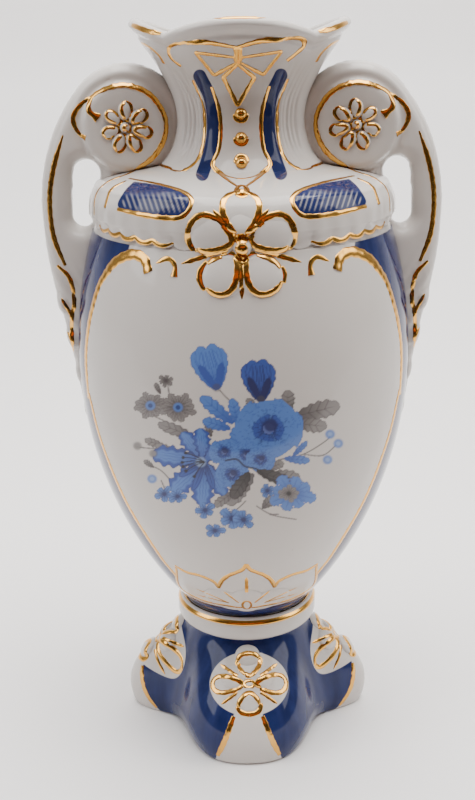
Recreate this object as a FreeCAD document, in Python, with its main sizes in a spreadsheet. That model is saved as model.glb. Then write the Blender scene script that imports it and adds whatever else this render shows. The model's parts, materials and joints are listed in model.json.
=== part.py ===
import FreeCAD, Part

import math
import os
import Sketcher
from FreeCAD import Placement, Rotation, Vector

# Porcelain flower vase of baluster form: a four-lobed foot, a collar ring, an ovoid bowl, a shoulder, a
# waisted neck with a four-lobed mouth, two scroll handles and moulded sprigs, each cast by itself and luted
# on. +Z is up, the front faces -Y, the handles lie along X, and the origin is the centre of the plane that
# the foot rests on. Sizes are in millimetres.

PARTS_FOLDER = "parts"
UP = Vector(0, 0, 1)
LEVEL = 1e-6

# Each size: its alias in the sheet, its value, and what it is.
SIZES = [
    ("foot_height", 37.5, "resting plane to the top that carries the collar and bowl"),
    ("foot_reach", 45.0, "axis to the end of a foot lobe at its knee"),
    ("foot_tuck", 1.8, "how far a lobe's end tucks in below the knee"),
    ("foot_knee_height", 8.0, "height of a foot lobe's widest point"),
    ("foot_valley", 32.0, "axis to the hollow between two foot lobes at the knee"),
    ("foot_stem_radius", 22.5, "radius of the foot where it meets the collar"),
    ("foot_wall", 4.0, "wall of the hollow foot"),
    ("foot_deck", 5.0, "thickness of the foot's top"),
    ("collar_radius", 25.5, "outer radius of the collar ring"),
    ("collar_height", 10.0, "height of the collar ring"),
    ("collar_shelf", 1.5, "ledge between the ring's round and the bowl"),
    ("stub_radius", 17.0, "radius of the bowl's stub inside the collar"),
    ("bowl_base_radius", 22.8, "radius of the bowl where it leaves the collar"),
    ("bowl_radius", 57.1, "greatest radius of the bowl"),
    ("belly_height", 140.0, "height of the bowl's widest point"),
    ("seam_height", 182.0, "height of the seam between bowl and shoulder"),
    ("bowl_wall", 3.5, "wall of the bowl and shoulder"),
    ("bowl_floor", 6.0, "thickness of the bowl's floor above the collar"),
    ("shoulder_edge_height", 192.0, "height where the shoulder starts to turn in"),
    ("shoulder_edge_radius", 50.2, "radius where the shoulder starts to turn in"),
    ("shoulder_bulge", 4.2, "how far the shoulder's turn stands out past its chord"),
    ("neck_base_height", 204.0, "height of the seam between shoulder and neck"),
    ("neck_base_radius", 27.5, "radius of the neck at the shoulder"),
    ("waist_height", 220.0, "height of the neck's narrowest point"),
    ("waist_radius", 21.6, "radius of the neck's lobes at the waist"),
    ("flute_depth", 1.2, "how far the neck's four flutes sink in at the waist"),
    ("neck_wall", 3.0, "wall of the neck"),
    ("mouth_height", 250.0, "height of the tips of the mouth's lobes"),
    ("mouth_radius", 36.0, "axis to the outside of a mouth lobe"),
    ("notch_radius", 33.4, "axis to the notch between two mouth lobes"),
    ("notch_drop", 3.7, "how far a notch lies below the lobe tips"),
    ("handle_stand", 10.1, "how far a handle stands out past the bowl"),
    ("handle_widest_height", 190.0, "height of a handle's widest point"),
    ("handle_arm_radius", 132.0, "bend of the handle's arm below its widest point"),
    ("tail_height", 97.0, "lower end of a handle's tail"),
    ("tail_rise", 1.6, "how far the tail stands out of the bowl"),
    ("handle_thickness", 13.0, "front to back thickness of a handle"),
    ("tail_thickness", 6.0, "front to back thickness of the tail's end"),
    ("taper_height", 160.0, "height below which a handle thins towards its tail"),
    ("handle_round", 1.5, "rounding of the handle's outer rims"),
    ("arm_width", 10.6, "width of the handle's arm beside the finger loop"),
    ("loop_bottom", 182.5, "lower end of the finger loop"),
    ("loop_top", 206.0, "upper end of the finger loop"),
    ("loop_width", 8.0, "width of the finger loop"),
    ("volute_offset", 37.5, "axis to the centre of a handle's volute"),
    ("volute_height", 216.5, "height of a volute's centre"),
    ("scroll_radius", 19.9, "volute centre to the top of the handle"),
    ("disc_radius", 14.4, "radius of a volute's raised disc"),
    ("disc_thickness", 16.0, "front to back thickness of a volute's disc"),
    ("disc_round", 1.2, "rounding of the disc's rims"),
    ("flower_height", 185.0, "height of the shoulder flower's centre"),
    ("flower_ring", 10.2, "shoulder flower's centre to the middle of a petal"),
    ("flower_petal_length", 14.0, "length of a shoulder flower's petal"),
    ("flower_petal_width", 13.2, "width of a shoulder flower's petal"),
    ("flower_relief", 1.5, "how far the shoulder flower's petals stand out"),
    ("flower_boss", 6.0, "width of the shoulder flower's boss"),
    ("flower_boss_relief", 2.4, "how far the shoulder flower's boss stands out"),
    ("rosette_ring", 5.2, "volute centre to the middle of a rosette petal"),
    ("rosette_petal_length", 6.2, "length of a rosette petal"),
    ("rosette_petal_width", 4.3, "width of a rosette petal"),
    ("rosette_relief", 1.0, "how far the rosette's petals stand out"),
    ("rosette_boss", 3.4, "width of the rosette's boss"),
    ("rosette_boss_relief", 1.5, "how far the rosette's boss stands out"),
    ("bead_radius", 1.8, "radius of a bead on the neck"),
    ("bead_pitch", 7.3, "height from one neck bead to the next"),
    ("top_bead_height", 221.4, "height of the highest neck bead"),
    ("foot_flower_height", 28.2, "height of a foot flower's centre"),
    ("foot_flower_ring", 7.0, "foot flower's centre to the middle of a petal"),
    ("foot_petal_length", 8.6, "length of a foot flower's petal"),
    ("foot_petal_width", 9.0, "width of a foot flower's petal"),
    ("foot_petal_relief", 1.4, "how far a foot flower's petals stand out"),
    ("lotus_rise", 10.0, "collar to the middle of the lotus leaves"),
    ("lotus_leaf_length", 17.0, "length of a lotus leaf"),
    ("lotus_leaf_width", 13.0, "width of a lotus leaf"),
    ("lotus_spread", 13.0, "axis to the middle of a side leaf, across the front"),
    ("lotus_relief", 0.9, "how far the lotus leaves stand out"),
]

# Sums that several sketches share, written in the sheet's aliases.
HANDLE_REACH = "(Sizes.bowl_radius + Sizes.handle_stand)"
COLLAR_TOP = "Sizes.foot_height + Sizes.collar_height"
BOWL_INSET = "(Sizes.bowl_radius - Sizes.bowl_base_radius)"
BOWL_RISE = f"(Sizes.belly_height - ({COLLAR_TOP}))"
BOWL_ARC = f"(({BOWL_INSET})^2 + ({BOWL_RISE})^2) / (2 * {BOWL_INSET})"

# Counts and curve shapes, which have no unit.
LOBES = 4
VALLEY_BEARING = math.radians(34)
SIDE_POINT = 1.75
FRONT_FULLNESS = 1.4
RIDGE_BEND, RIDGE_FALL = 2.2, 1.5
VALLEY_BEND, VALLEY_FALL = 1.3, 1.2
FOOT_RINGS = 7
RING_POINTS = 60
RING_START = math.radians(36)
NECK_FLARE, NOTCH_FLARE = 1.6, 1.8
FLOWER_PETALS = 5
ROSETTE_PETALS = 7
FOOT_PETALS = 4
FOOT_SLOPE = 0.75
NECK_BEADS = 4
LOTUS_FAN = 52.0
SUNK = 0.35

doc = FreeCAD.newDocument("flower_vase")
sheet = doc.addObject("Spreadsheet::Sheet", "Sizes")
nodes = []


def fill_sheet():
    for row, (alias, value, note) in enumerate(SIZES, start=1):
        sheet.set(f"A{row}", alias.replace("_", " "))
        sheet.set(f"B{row}", str(value))
        sheet.set(f"C{row}", note)
        sheet.setAlias(f"B{row}", alias)
    doc.recompute()


def size(alias):
    return float(sheet.get(alias))


def finish(obj, label):
    """Marks an object as a sub-part whose file is named by its label."""
    obj.Label = label
    nodes.append(obj)
    return obj


def bound(kind, name, **expressions):
    """A Part primitive whose sizes follow the sheet."""
    obj = doc.addObject(kind, name)
    for prop, expression in expressions.items():
        obj.setExpression(prop, expression)
    return obj


def boolean(kind, name, base, tool):
    obj = doc.addObject(kind, name)
    obj.Base = base
    obj.Tool = tool
    return obj


def fuse(name, pieces):
    obj = doc.addObject("Part::MultiFuse", name)
    obj.Shapes = pieces
    return obj


# ------------------------------------------------------------------------------ curves of the outside


def collar_top():
    return size("foot_height") + size("collar_height")


def bowl_arc():
    """Radius of the bowl's side, and how far its centre lies from the axis."""
    inset = size("bowl_radius") - size("bowl_base_radius")
    rise = size("belly_height") - collar_top()
    radius = (inset**2 + rise**2) / (2 * inset)
    return radius, size("bowl_radius") - radius


def bowl_radius_at(height, offset=0.0):
    """The bowl's radius at a height, offset outwards along the surface."""
    radius, centre = bowl_arc()
    return centre + math.sqrt((radius + offset) ** 2 - (height - size("belly_height")) ** 2)


def shoulder_turn():
    """The point that the shoulder's arc passes between its edge and the neck."""
    edge = Vector(size("shoulder_edge_radius"), size("shoulder_edge_height"), 0)
    neck_seam = Vector(size("neck_base_radius"), size("neck_base_height"), 0)
    chord = neck_seam - edge
    outwards = Vector(chord.y, -chord.x, 0).normalize()
    return (edge + neck_seam) / 2 + outwards * size("shoulder_bulge")


def four_arc_ring(height, lobe, notch):
    """A level ring of four arcs. Each runs from one notch over a lobe to the next notch."""
    half = math.pi / LOBES
    edges = []
    for i in range(LOBES):
        middle = 2 * half * i
        start, end = (
            Vector(notch * math.cos(angle), notch * math.sin(angle), height)
            for angle in (middle - half, middle + half)
        )
        tip = Vector(lobe * math.cos(middle), lobe * math.sin(middle), height)
        edges.append(Part.Arc(start, tip, end).toShape())
    return Part.Wire(edges)


def neck_rings(inset):
    """Level rings of the neck from the shoulder's seam to the mouth, drawn in by inset."""
    base, waist, mouth = size("neck_base_height"), size("waist_height"), size("mouth_height")
    seam, narrow, lobe = size("neck_base_radius"), size("waist_radius"), size("mouth_radius")
    fluted, notch = narrow - size("flute_depth"), size("notch_radius")
    rings = [(base, seam, seam)]
    for share in (0.25, 0.55, 1.0):
        radius = narrow + (seam - narrow) * (1 - share) ** 2
        rings.append((base + (waist - base) * share, radius, radius - size("flute_depth") * share))
    for share in (0.35, 0.7, 1.0):
        radius = narrow + (lobe - narrow) * share**NECK_FLARE
        valley = fluted + (notch - fluted) * share**NOTCH_FLARE
        rings.append((waist + (mouth - waist) * share, radius, valley))
    return [four_arc_ring(height, radius - inset, valley - inset) for height, radius, valley in rings]


def foot_reach_at(height):
    """Radii of the foot's lobe ends and of its valleys at a height."""
    knee, stem = size("foot_knee_height"), size("foot_stem_radius")
    if height < knee:
        tuck = size("foot_tuck") * (1 - height / knee) ** 2
        return size("foot_reach") - tuck, size("foot_valley") - tuck
    rise = (height - knee) / (size("foot_height") - knee)
    reach = stem + (size("foot_reach") - stem) * (1 - rise**RIDGE_BEND) ** RIDGE_FALL
    valley = stem + (size("foot_valley") - stem) * (1 - rise**VALLEY_BEND) ** VALLEY_FALL
    return reach, valley


def foot_ring(height, inset):
    """The foot's outline at a height, drawn in by inset. Broad lobes stand in front and behind, narrow ones
    at the sides, and round valleys between them, where the outline starts and ends."""
    reach, valley = foot_reach_at(height)
    points = []
    for i in range(RING_POINTS):
        angle = RING_START + 2 * math.pi * i / RING_POINTS
        from_side = math.atan2(abs(math.sin(angle)), abs(math.cos(angle)))
        if from_side < VALLEY_BEARING:
            crest = ((1 + math.cos(math.pi * from_side / VALLEY_BEARING)) / 2) ** SIDE_POINT
        else:
            away = (math.pi / 2 - from_side) / (math.pi / 2 - VALLEY_BEARING)
            crest = 1 - ((1 - math.cos(math.pi * away)) / 2) ** FRONT_FULLNESS
        radius = valley + (reach - valley) * crest - inset
        points.append(Vector(radius * math.cos(angle), radius * math.sin(angle), height))
    curve = Part.BSplineCurve()
    curve.interpolate(points, PeriodicFlag=True)
    return Part.Wire(curve.toShape())


# ------------------------------------------------------------------------------ sketches


def add_sketch(body, name, role):
    """A sketch on one of the body's own origin planes."""
    sketch = body.newObject("Sketcher::SketchObject", name)
    plane = [feature for feature in body.Origin.OriginFeatures if feature.Role == role][0]
    sketch.AttachmentSupport = [(plane, "")]
    sketch.MapMode = "FlatFace"
    return sketch


def bind(sketch, kind, where, value, expression):
    """Adds a constraint whose value follows an expression in the sheet's cells."""
    place = sketch.addConstraint(Sketcher.Constraint(kind, *where, value))
    sketch.setExpression(f"Constraints[{place}]", expression)


def draw_outline(sketch, points, arcs):
    """Draws a closed outline. Each point is (x, y, x_expression, y_expression), and an expression of None
    leaves that coordinate free. arcs maps an edge's number to a point that its arc passes."""
    flat = [Vector(x, y, 0) for x, y, _, _ in points]
    first = sketch.GeometryCount
    starts = []
    for i, start in enumerate(flat):
        end = flat[(i + 1) % len(flat)]
        if i not in arcs:
            sketch.addGeometry(Part.LineSegment(start, end), False)
            starts.append(1)
            continue
        middle = Vector(*arcs[i], 0)
        # A sketch keeps every arc counter-clockwise, so a clockwise one is drawn from its other end.
        clockwise = (middle - start).cross(end - middle).z < 0
        first_end, last_end = (end, start) if clockwise else (start, end)
        sketch.addGeometry(Part.Arc(first_end, middle, last_end), False)
        starts.append(2 if clockwise else 1)
    for i in range(len(flat)):
        after = (i + 1) % len(flat)
        where = (first + i, 3 - starts[i], first + after, starts[after])
        sketch.addConstraint(Sketcher.Constraint("Coincident", *where))
    for i, (x, y, along, up) in enumerate(points):
        if along is not None:
            bind(sketch, "DistanceX", (-1, 1, first + i, starts[i]), x, along)
        if up is not None:
            bind(sketch, "DistanceY", (-1, 1, first + i, starts[i]), y, up)


def turned_body(label, draw):
    """A body that turns the outline that draw() puts in its sketch about the vase's axis."""
    body = doc.addObject("PartDesign::Body", label + "_body")
    sketch = add_sketch(body, label + "_profile", "XZ_Plane")
    draw(sketch)
    doc.recompute()
    turned = body.newObject("PartDesign::Revolution", label + "_turned")
    turned.Profile = sketch
    turned.ReferenceAxis = (sketch, ["V_Axis"])
    turned.Angle = 360.0
    body.Tip = turned
    return body


# ------------------------------------------------------------------------------ castings of the body


def foot():
    """The hollow foot, whose four lobes rest on a level rim, and its form before it is hollowed."""
    knee, top, deck = size("foot_knee_height"), size("foot_height"), size("foot_deck")

    def form(height, inset):
        rise = (height - knee) / (FOOT_RINGS - 1)
        heights = [0.0, knee / 2] + [knee + rise * i for i in range(FOOT_RINGS)]
        return Part.makeLoft([foot_ring(z, inset) for z in heights], True, False)

    whole = doc.addObject("Part::Feature", "foot_form")
    whole.Shape = form(top, 0.0)
    hollow = doc.addObject("Part::Feature", "foot_hollow")
    hollow.Shape = form(top - deck, size("foot_wall"))
    finish(boolean("Part::Cut", "foot_casting", whole, hollow), "foot")
    return whole


def draw_collar_ring(sketch):
    stub, stem = size("stub_radius"), size("foot_stem_radius")
    low, high = size("foot_height"), collar_top()
    shelf = size("bowl_base_radius") + size("collar_shelf")
    points = [
        (stub, low, "Sizes.stub_radius", "Sizes.foot_height"),
        (stem, low, "Sizes.foot_stem_radius", "Sizes.foot_height"),
        (shelf, high, "Sizes.bowl_base_radius + Sizes.collar_shelf", COLLAR_TOP),
        (stub, high, "Sizes.stub_radius", COLLAR_TOP),
    ]
    draw_outline(sketch, points, arcs={1: (size("collar_radius"), (low + high) / 2)})


def draw_bowl(sketch):
    """The bowl's side is an arc outside and one inside, about the same centre. A stub passes the collar."""
    low, base, seam = size("foot_height"), collar_top(), size("seam_height")
    stub, belly, widest = size("stub_radius"), size("belly_height"), size("bowl_radius")
    wall, floor = size("bowl_wall"), base + size("bowl_floor")
    floor_sum = COLLAR_TOP + " + Sizes.bowl_floor"
    points = [
        (0, low, "0", "Sizes.foot_height"),
        (stub, low, "Sizes.stub_radius", "Sizes.foot_height"),
        (stub, base, "Sizes.stub_radius", COLLAR_TOP),
        (size("bowl_base_radius"), base, "Sizes.bowl_base_radius", COLLAR_TOP),
        (bowl_radius_at(seam), seam, None, "Sizes.seam_height"),
        (bowl_radius_at(seam, -wall), seam, None, "Sizes.seam_height"),
        (bowl_radius_at(floor, -wall), floor, None, floor_sum),
        (0, floor, "0", floor_sum),
    ]
    outside, inside, centre = 3, 5, 3
    draw_outline(sketch, points, arcs={outside: (widest, belly), inside: (widest - wall, belly)})
    radius = bowl_arc()[0]
    bind(sketch, "DistanceY", (-1, 1, outside, centre), belly, "Sizes.belly_height")
    bind(sketch, "Radius", (outside,), radius, BOWL_ARC)
    bind(sketch, "Radius", (inside,), radius - wall, BOWL_ARC + " - Sizes.bowl_wall")
    sketch.addConstraint(Sketcher.Constraint("Coincident", outside, centre, inside, centre))


def draw_shoulder(sketch):
    """A nearly upright band on the bowl's seam, then a round turn in to the neck's seam."""
    low, wall, top = size("seam_height"), size("bowl_wall"), size("neck_base_height")
    edge, edge_height = size("shoulder_edge_radius"), size("shoulder_edge_height")
    neck_inside = size("neck_base_radius") - size("neck_wall")
    turn = shoulder_turn()
    points = [
        (bowl_radius_at(low), low, None, "Sizes.seam_height"),
        (edge, edge_height, "Sizes.shoulder_edge_radius", "Sizes.shoulder_edge_height"),
        (size("neck_base_radius"), top, "Sizes.neck_base_radius", "Sizes.neck_base_height"),
        (neck_inside, top, "Sizes.neck_base_radius - Sizes.neck_wall", "Sizes.neck_base_height"),
        (neck_inside, top - wall, None, "Sizes.neck_base_height - Sizes.bowl_wall"),
        (edge - wall, edge_height - wall, "Sizes.shoulder_edge_radius - Sizes.bowl_wall", None),
        (bowl_radius_at(low, -wall), low, None, "Sizes.seam_height"),
    ]
    inner_turn = (turn.x - wall / 2, turn.y - wall)
    draw_outline(sketch, points, arcs={1: (turn.x, turn.y), 4: inner_turn})


def neck():
    """The neck: four flutes open into a mouth of four lobes, whose rim is arched over each lobe."""
    casting = doc.addObject("Part::Feature", "neck_tube")
    outer = Part.makeLoft(neck_rings(0.0), True, False)
    casting.Shape = outer.cut(Part.makeLoft(neck_rings(size("neck_wall")), True, False))
    half_notch = "(Sizes.notch_radius * sqrt(0.5))"
    arch_radius = f"({half_notch}^2 + Sizes.notch_drop^2) / (2 * Sizes.notch_drop)"
    arches = []
    for name, turn in (("side_arch", 0.0), ("front_arch", 90.0)):
        arch = bound("Part::Cylinder", name, Radius=arch_radius, Height="4 * Sizes.mouth_radius")
        doc.recompute()
        level = Rotation(UP, turn).multiply(Rotation(Vector(0, 1, 0), 90))
        centre = Vector(0, 0, size("mouth_height") - arch.Radius.Value)
        arch.Placement = Placement(centre - level.multVec(UP) * (arch.Height.Value / 2), level)
        arches.append(arch)
    return finish(boolean("Part::Common", "neck_casting", casting, fuse("mouth_arches", arches)), "neck")


def body_form():
    """The solid outer form of bowl, shoulder and neck, to which handles and sprigs are trimmed."""
    base, seam, top = collar_top(), size("seam_height"), size("neck_base_height")
    corners = [
        Vector(0, 0, base),
        Vector(size("bowl_base_radius"), 0, base),
        Vector(bowl_radius_at(seam), 0, seam),
        Vector(size("shoulder_edge_radius"), 0, size("shoulder_edge_height")),
        Vector(size("neck_base_radius"), 0, top),
        Vector(0, 0, top),
    ]
    turn = shoulder_turn()
    belly = Vector(size("bowl_radius"), 0, size("belly_height"))
    edges = [
        Part.LineSegment(corners[0], corners[1]),
        Part.Arc(corners[1], belly, corners[2]),
        Part.LineSegment(corners[2], corners[3]),
        Part.Arc(corners[3], Vector(turn.x, 0, turn.y), corners[4]),
        Part.LineSegment(corners[4], corners[5]),
        Part.LineSegment(corners[5], corners[0]),
    ]
    outline = Part.Wire([edge.toShape() for edge in edges])
    turned = Part.Face(outline).revolve(Vector(0, 0, 0), UP, 360)
    form = doc.addObject("Part::Feature", "body_form")
    form.Shape = turned.fuse(Part.makeLoft(neck_rings(0.0), True, False))
    return form


# ------------------------------------------------------------------------------ handles


def on_circle(centre, radius, degrees):
    turn = math.radians(degrees)
    return (centre[0] + radius * math.cos(turn), centre[1] + radius * math.sin(turn))


def handle_reach():
    """Distance from the axis to the outside of a handle."""
    return size("bowl_radius") + size("handle_stand")


def handle_inside():
    """Distance from the axis to the handle's plain inner side, well within the bowl."""
    return (size("bowl_base_radius") + size("bowl_radius")) / 2


def draw_handle(sketch):
    """The handle seen from the front: over the scroll, down the arm, along the tail and back up inside."""
    scroll, volute = size("scroll_radius"), (size("volute_offset"), size("volute_height"))
    reach, widest, tail = handle_reach(), size("handle_widest_height"), size("tail_height")
    # The back's circle touches the scroll's circle from outside it and is upright at the widest point.
    across, up = reach - volute[0], volute[1] - widest
    back_radius = (across**2 + up**2 - scroll**2) / (2 * (across - scroll))
    back = (reach - back_radius, widest)
    meet = math.degrees(math.atan2(volute[1] - back[1], volute[0] - back[0]))
    arm_radius = size("handle_arm_radius")
    arm = (reach - arm_radius, widest)
    tail_end = (bowl_radius_at(tail, size("tail_rise")), tail)
    # The tail's straight outside leaves the arm's circle as its tangent.
    apart = math.hypot(tail_end[0] - arm[0], tail_end[1] - arm[1])
    towards_tail = math.atan2(tail_end[1] - arm[1], tail_end[0] - arm[0])
    lean = math.degrees(towards_tail + math.acos(arm_radius / apart))
    inside = handle_inside()
    neck_inside = size("waist_radius") - size("flute_depth") - size("neck_wall")
    outline = [
        on_circle(volute, scroll, 150),
        on_circle(volute, scroll, meet),
        (reach, widest),
        on_circle(arm, arm_radius, lean),
        tail_end,
        (inside, tail),
        (inside, widest),
        (neck_inside, size("neck_base_height")),
    ]
    points = [(x, y, None, None) for x, y in outline]
    points[2] = (reach, widest, HANDLE_REACH, "Sizes.handle_widest_height")
    arcs = {
        0: on_circle(volute, scroll, 90),
        1: on_circle(back, back_radius, meet / 2),
        2: on_circle(arm, arm_radius, lean / 2),
    }
    draw_outline(sketch, points, arcs)


def draw_finger_loop(sketch):
    """The loop between arm and shoulder: a slot with round ends."""
    right = handle_reach() - size("arm_width")
    left = right - size("loop_width")
    bend = size("loop_width") / 2
    low, high = size("loop_bottom"), size("loop_top")
    outer = HANDLE_REACH + " - Sizes.arm_width"
    inner = outer + " - Sizes.loop_width"
    low_bend = "Sizes.loop_bottom + Sizes.loop_width / 2"
    high_bend = "Sizes.loop_top - Sizes.loop_width / 2"
    points = [
        (left, low + bend, inner, low_bend),
        (right, low + bend, outer, low_bend),
        (right, high - bend, outer, high_bend),
        (left, high - bend, inner, high_bend),
    ]
    middle = (left + right) / 2
    draw_outline(sketch, points, arcs={0: (middle, low), 2: (middle, high)})


def draw_taper(sketch):
    """Two wedges, seen from the side, that thin the handle towards its tail."""
    full, thin = size("handle_thickness") / 2, size("tail_thickness") / 2
    low, high = size("tail_height") - 1, size("taper_height")
    for side in (-1, 1):
        outer = f"{side} * Sizes.handle_thickness"
        points = [
            (side * thin, low, f"{side} * Sizes.tail_thickness / 2", "Sizes.tail_height - 1"),
            (side * full, high, outer + " / 2", "Sizes.taper_height"),
            (side * 2 * full, high, outer, "Sizes.taper_height"),
            (side * 2 * full, low, outer, "Sizes.tail_height - 1"),
        ]
        draw_outline(sketch, points, arcs={})


def pocket(body, name, sketch):
    """Cuts a sketch through the whole body, both ways."""
    cut = body.newObject("PartDesign::Pocket", name)
    cut.Profile = sketch
    cut.Type = "ThroughAll"
    cut.SideType = "Symmetric"
    body.Tip = cut
    doc.recompute()
    return cut


def rounded_pad(body, pad):
    """Rounds the handle's outer rims in front and behind, from the scroll down to the tail's end."""
    inside = handle_inside()
    rims = []
    for number, edge in enumerate(pad.Shape.Edges, start=1):
        box = edge.BoundBox
        if box.YLength < LEVEL < box.ZLength and box.XMax > inside + LEVEL:
            rims.append(f"Edge{number}")
    fillet = body.newObject("PartDesign::Fillet", "handle_rims")
    fillet.Base = (pad, rims)
    fillet.setExpression("Radius", "Sizes.handle_round")
    body.Tip = fillet
    doc.recompute()
    return fillet


def handle_blank():
    """The handle before it is trimmed to the body: a thick outline with round rims and a finger loop."""
    body = doc.addObject("PartDesign::Body", "handle_blank")
    outline = add_sketch(body, "handle_outline", "XZ_Plane")
    draw_handle(outline)
    doc.recompute()
    pad = body.newObject("PartDesign::Pad", "handle_pad")
    pad.Profile = outline
    pad.SideType = "Symmetric"
    pad.setExpression("Length", "Sizes.handle_thickness")
    doc.recompute()
    rounded_pad(body, pad)
    for name, role, draw in (
        ("finger_loop", "XZ_Plane", draw_finger_loop),
        ("tail_taper", "YZ_Plane", draw_taper),
    ):
        sketch = add_sketch(body, name + "_outline", role)
        draw(sketch)
        doc.recompute()
        before = body.Shape.Volume
        pocket(body, name, sketch)
        if not body.Shape.Volume < before:
            raise RuntimeError(f"{name} cuts nothing")
    return body


def volute_disc():
    """The raised disc at the heart of the scroll, with round rims."""
    disc = bound(
        "Part::Cylinder", "volute_cylinder", Radius="Sizes.disc_radius", Height="Sizes.disc_thickness"
    )
    level = Rotation(Vector(1, 0, 0), 90)
    centre = Vector(size("volute_offset"), size("disc_thickness") / 2, size("volute_height"))
    disc.Placement = Placement(centre, level)
    doc.recompute()
    rims = [
        (number, size("disc_round"), size("disc_round"))
        for number, edge in enumerate(disc.Shape.Edges, start=1)
        if edge.isClosed()
    ]
    rounded = doc.addObject("Part::Fillet", "volute_disc")
    rounded.Base = disc
    rounded.Edges = rims
    return rounded


def handles(form):
    """The right handle, and the left one as its mirror image."""
    whole = fuse("handle_whole", [handle_blank(), volute_disc()])
    right = finish(boolean("Part::Cut", "handle_right_casting", whole, form), "handle_right")
    left = doc.addObject("Part::Mirroring", "handle_left_casting")
    left.Source = right
    left.Normal = Vector(1, 0, 0)
    doc.recompute()
    return right, finish(left, "handle_left")


# ------------------------------------------------------------------------------ sprigs


def cushion(name, length, width, relief, spin, place):
    """An ellipsoid pressed into a surface, whose outward normal is the place's z axis. length, width and
    relief are expressions in the sheet's cells."""
    height = f"({relief}) / {1 - SUNK}"
    shape = bound(
        "Part::Ellipsoid", name, Radius1=height, Radius2=f"({length}) / 2", Radius3=f"({width}) / 2"
    )
    doc.recompute()
    sink = Vector(0, 0, -SUNK * shape.Radius1.Value)
    shape.Placement = place.multiply(Placement(sink, Rotation(UP, spin)))
    return shape


def surface_place(form, bearing, height):
    """The place on a form at a bearing from its front and a height. Its z axis leaves the surface, and its
    y axis runs up the surface."""

    def leaves(turn, level):
        out = Vector(math.sin(turn), -math.cos(turn), 0)
        line = Part.makeLine(Vector(0, 0, level), Vector(0, 0, level) + out * 2 * size("bowl_radius"))
        ends = form.Shape.common(line).Vertexes
        return max((end.Point for end in ends), key=lambda point: point.dot(out))

    step = 0.5
    slant = step / size("bowl_radius")
    up = (leaves(bearing, height + step) - leaves(bearing, height - step)).normalize()
    side = (leaves(bearing + slant, height) - leaves(bearing - slant, height)).normalize()
    return Placement(leaves(bearing, height), Rotation(side, up, side.cross(up), "ZXY"))


def petal_ring(name, form_place, count, ring, petal, start=90.0):
    """Petals around a centre. form_place gives the place at an offset (across, up) from the centre, and
    petal is (length, width, relief)."""
    cushions = []
    for i in range(count):
        bearing = start + 360.0 / count * i
        turn = math.radians(bearing)
        place = form_place(ring * math.cos(turn), ring * math.sin(turn))
        cushions.append(cushion(f"{name}_petal_{i + 1}", *petal, bearing, place))
    return cushions


def sprig(label, pieces, form, turn=0.0):
    """Joins a sprig's pieces, turns it about the axis and trims its back to the form."""
    for piece in pieces:
        piece.Placement = Placement(Vector(0, 0, 0), Rotation(UP, turn)).multiply(piece.Placement)
    whole = fuse(label + "_blank", pieces)
    return finish(boolean("Part::Cut", label + "_casting", whole, form), label)


def shoulder_flower(label, form, turn):
    """Five petals and a boss across the seam between bowl and shoulder."""
    centre = size("flower_height")
    petal = ("Sizes.flower_petal_length", "Sizes.flower_petal_width", "Sizes.flower_relief")

    def place(across, up):
        return surface_place(form, math.asin(across / size("bowl_radius")), centre + up)

    pieces = petal_ring(label, place, FLOWER_PETALS, size("flower_ring"), petal)
    boss = ("Sizes.flower_boss", "Sizes.flower_boss", "Sizes.flower_boss_relief")
    pieces.append(cushion(label + "_boss", *boss, 0, place(0, 0)))
    sprig(label, pieces, form, turn)


def lotus(label, form, turn):
    """A middle leaf and two spreading side leaves on the bowl above the collar."""
    leaf = ("Sizes.lotus_leaf_length", "Sizes.lotus_leaf_width", "Sizes.lotus_relief")
    height = collar_top() + size("lotus_rise")
    pieces = []
    for side in (-1, 0, 1):
        place = surface_place(form, side * math.asin(size("lotus_spread") / size("bowl_radius")), height)
        pieces.append(cushion(f"{label}_leaf_{side + 2}", *leaf, 90 - LOTUS_FAN * side, place))
    sprig(label, pieces, form, turn)


def neck_beads(label, form, turn):
    """Beads down the neck, the lowest on the shoulder."""
    beads = []
    for i in range(NECK_BEADS):
        bead = bound("Part::Sphere", f"{label}_{i + 1}", Radius="Sizes.bead_radius")
        height = size("top_bead_height") - i * size("bead_pitch")
        bead.Placement = Placement(surface_place(form, 0, height).Base, Rotation())
        beads.append(bead)
    sprig(label, beads, form, turn)


def foot_flower(label, form, side, turn):
    """Four petals on the upper side of a foot lobe. side is the bearing of the lobe that they are shaped
    to, and turn carries them round to the lobe opposite."""
    centre = size("foot_flower_height")
    petal = ("Sizes.foot_petal_length", "Sizes.foot_petal_width", "Sizes.foot_petal_relief")
    def place(across, along):
        spread = math.asin(across / size("foot_reach"))
        return surface_place(form, side + spread, centre + along * FOOT_SLOPE)

    pieces = petal_ring(label, place, FOOT_PETALS, size("foot_flower_ring"), petal)
    sprig(label, pieces, form, turn)


def rosette(label, handle_part, side, face):
    """Seven petals and a boss on a volute. side is 1 on the right, and face is -1 in front."""
    centre = Vector(side * size("volute_offset"), face * size("disc_thickness") / 2, size("volute_height"))
    middle = Placement(centre, Rotation(Vector(1, 0, 0), -90 * face))
    petal = ("Sizes.rosette_petal_length", "Sizes.rosette_petal_width", "Sizes.rosette_relief")

    def place(across, along):
        return middle.multiply(Placement(Vector(across, along, 0), Rotation()))

    pieces = petal_ring(label, place, ROSETTE_PETALS, size("rosette_ring"), petal)
    boss = ("Sizes.rosette_boss", "Sizes.rosette_boss", "Sizes.rosette_boss_relief")
    pieces.append(cushion(label + "_boss", *boss, 0, place(0, 0)))
    sprig(label, pieces, handle_part)


# ------------------------------------------------------------------------------ output


def check_objects():
    doc.recompute()
    for obj in doc.Objects:
        if "Invalid" in obj.State or "Error" in obj.State:
            raise RuntimeError(f"{obj.Label} failed: {obj.State}")
    for obj in nodes:
        if obj.Shape.isNull() or not obj.Shape.isValid() or not obj.Shape.Solids:
            raise RuntimeError(f"{obj.Label} is not a valid solid")


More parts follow.
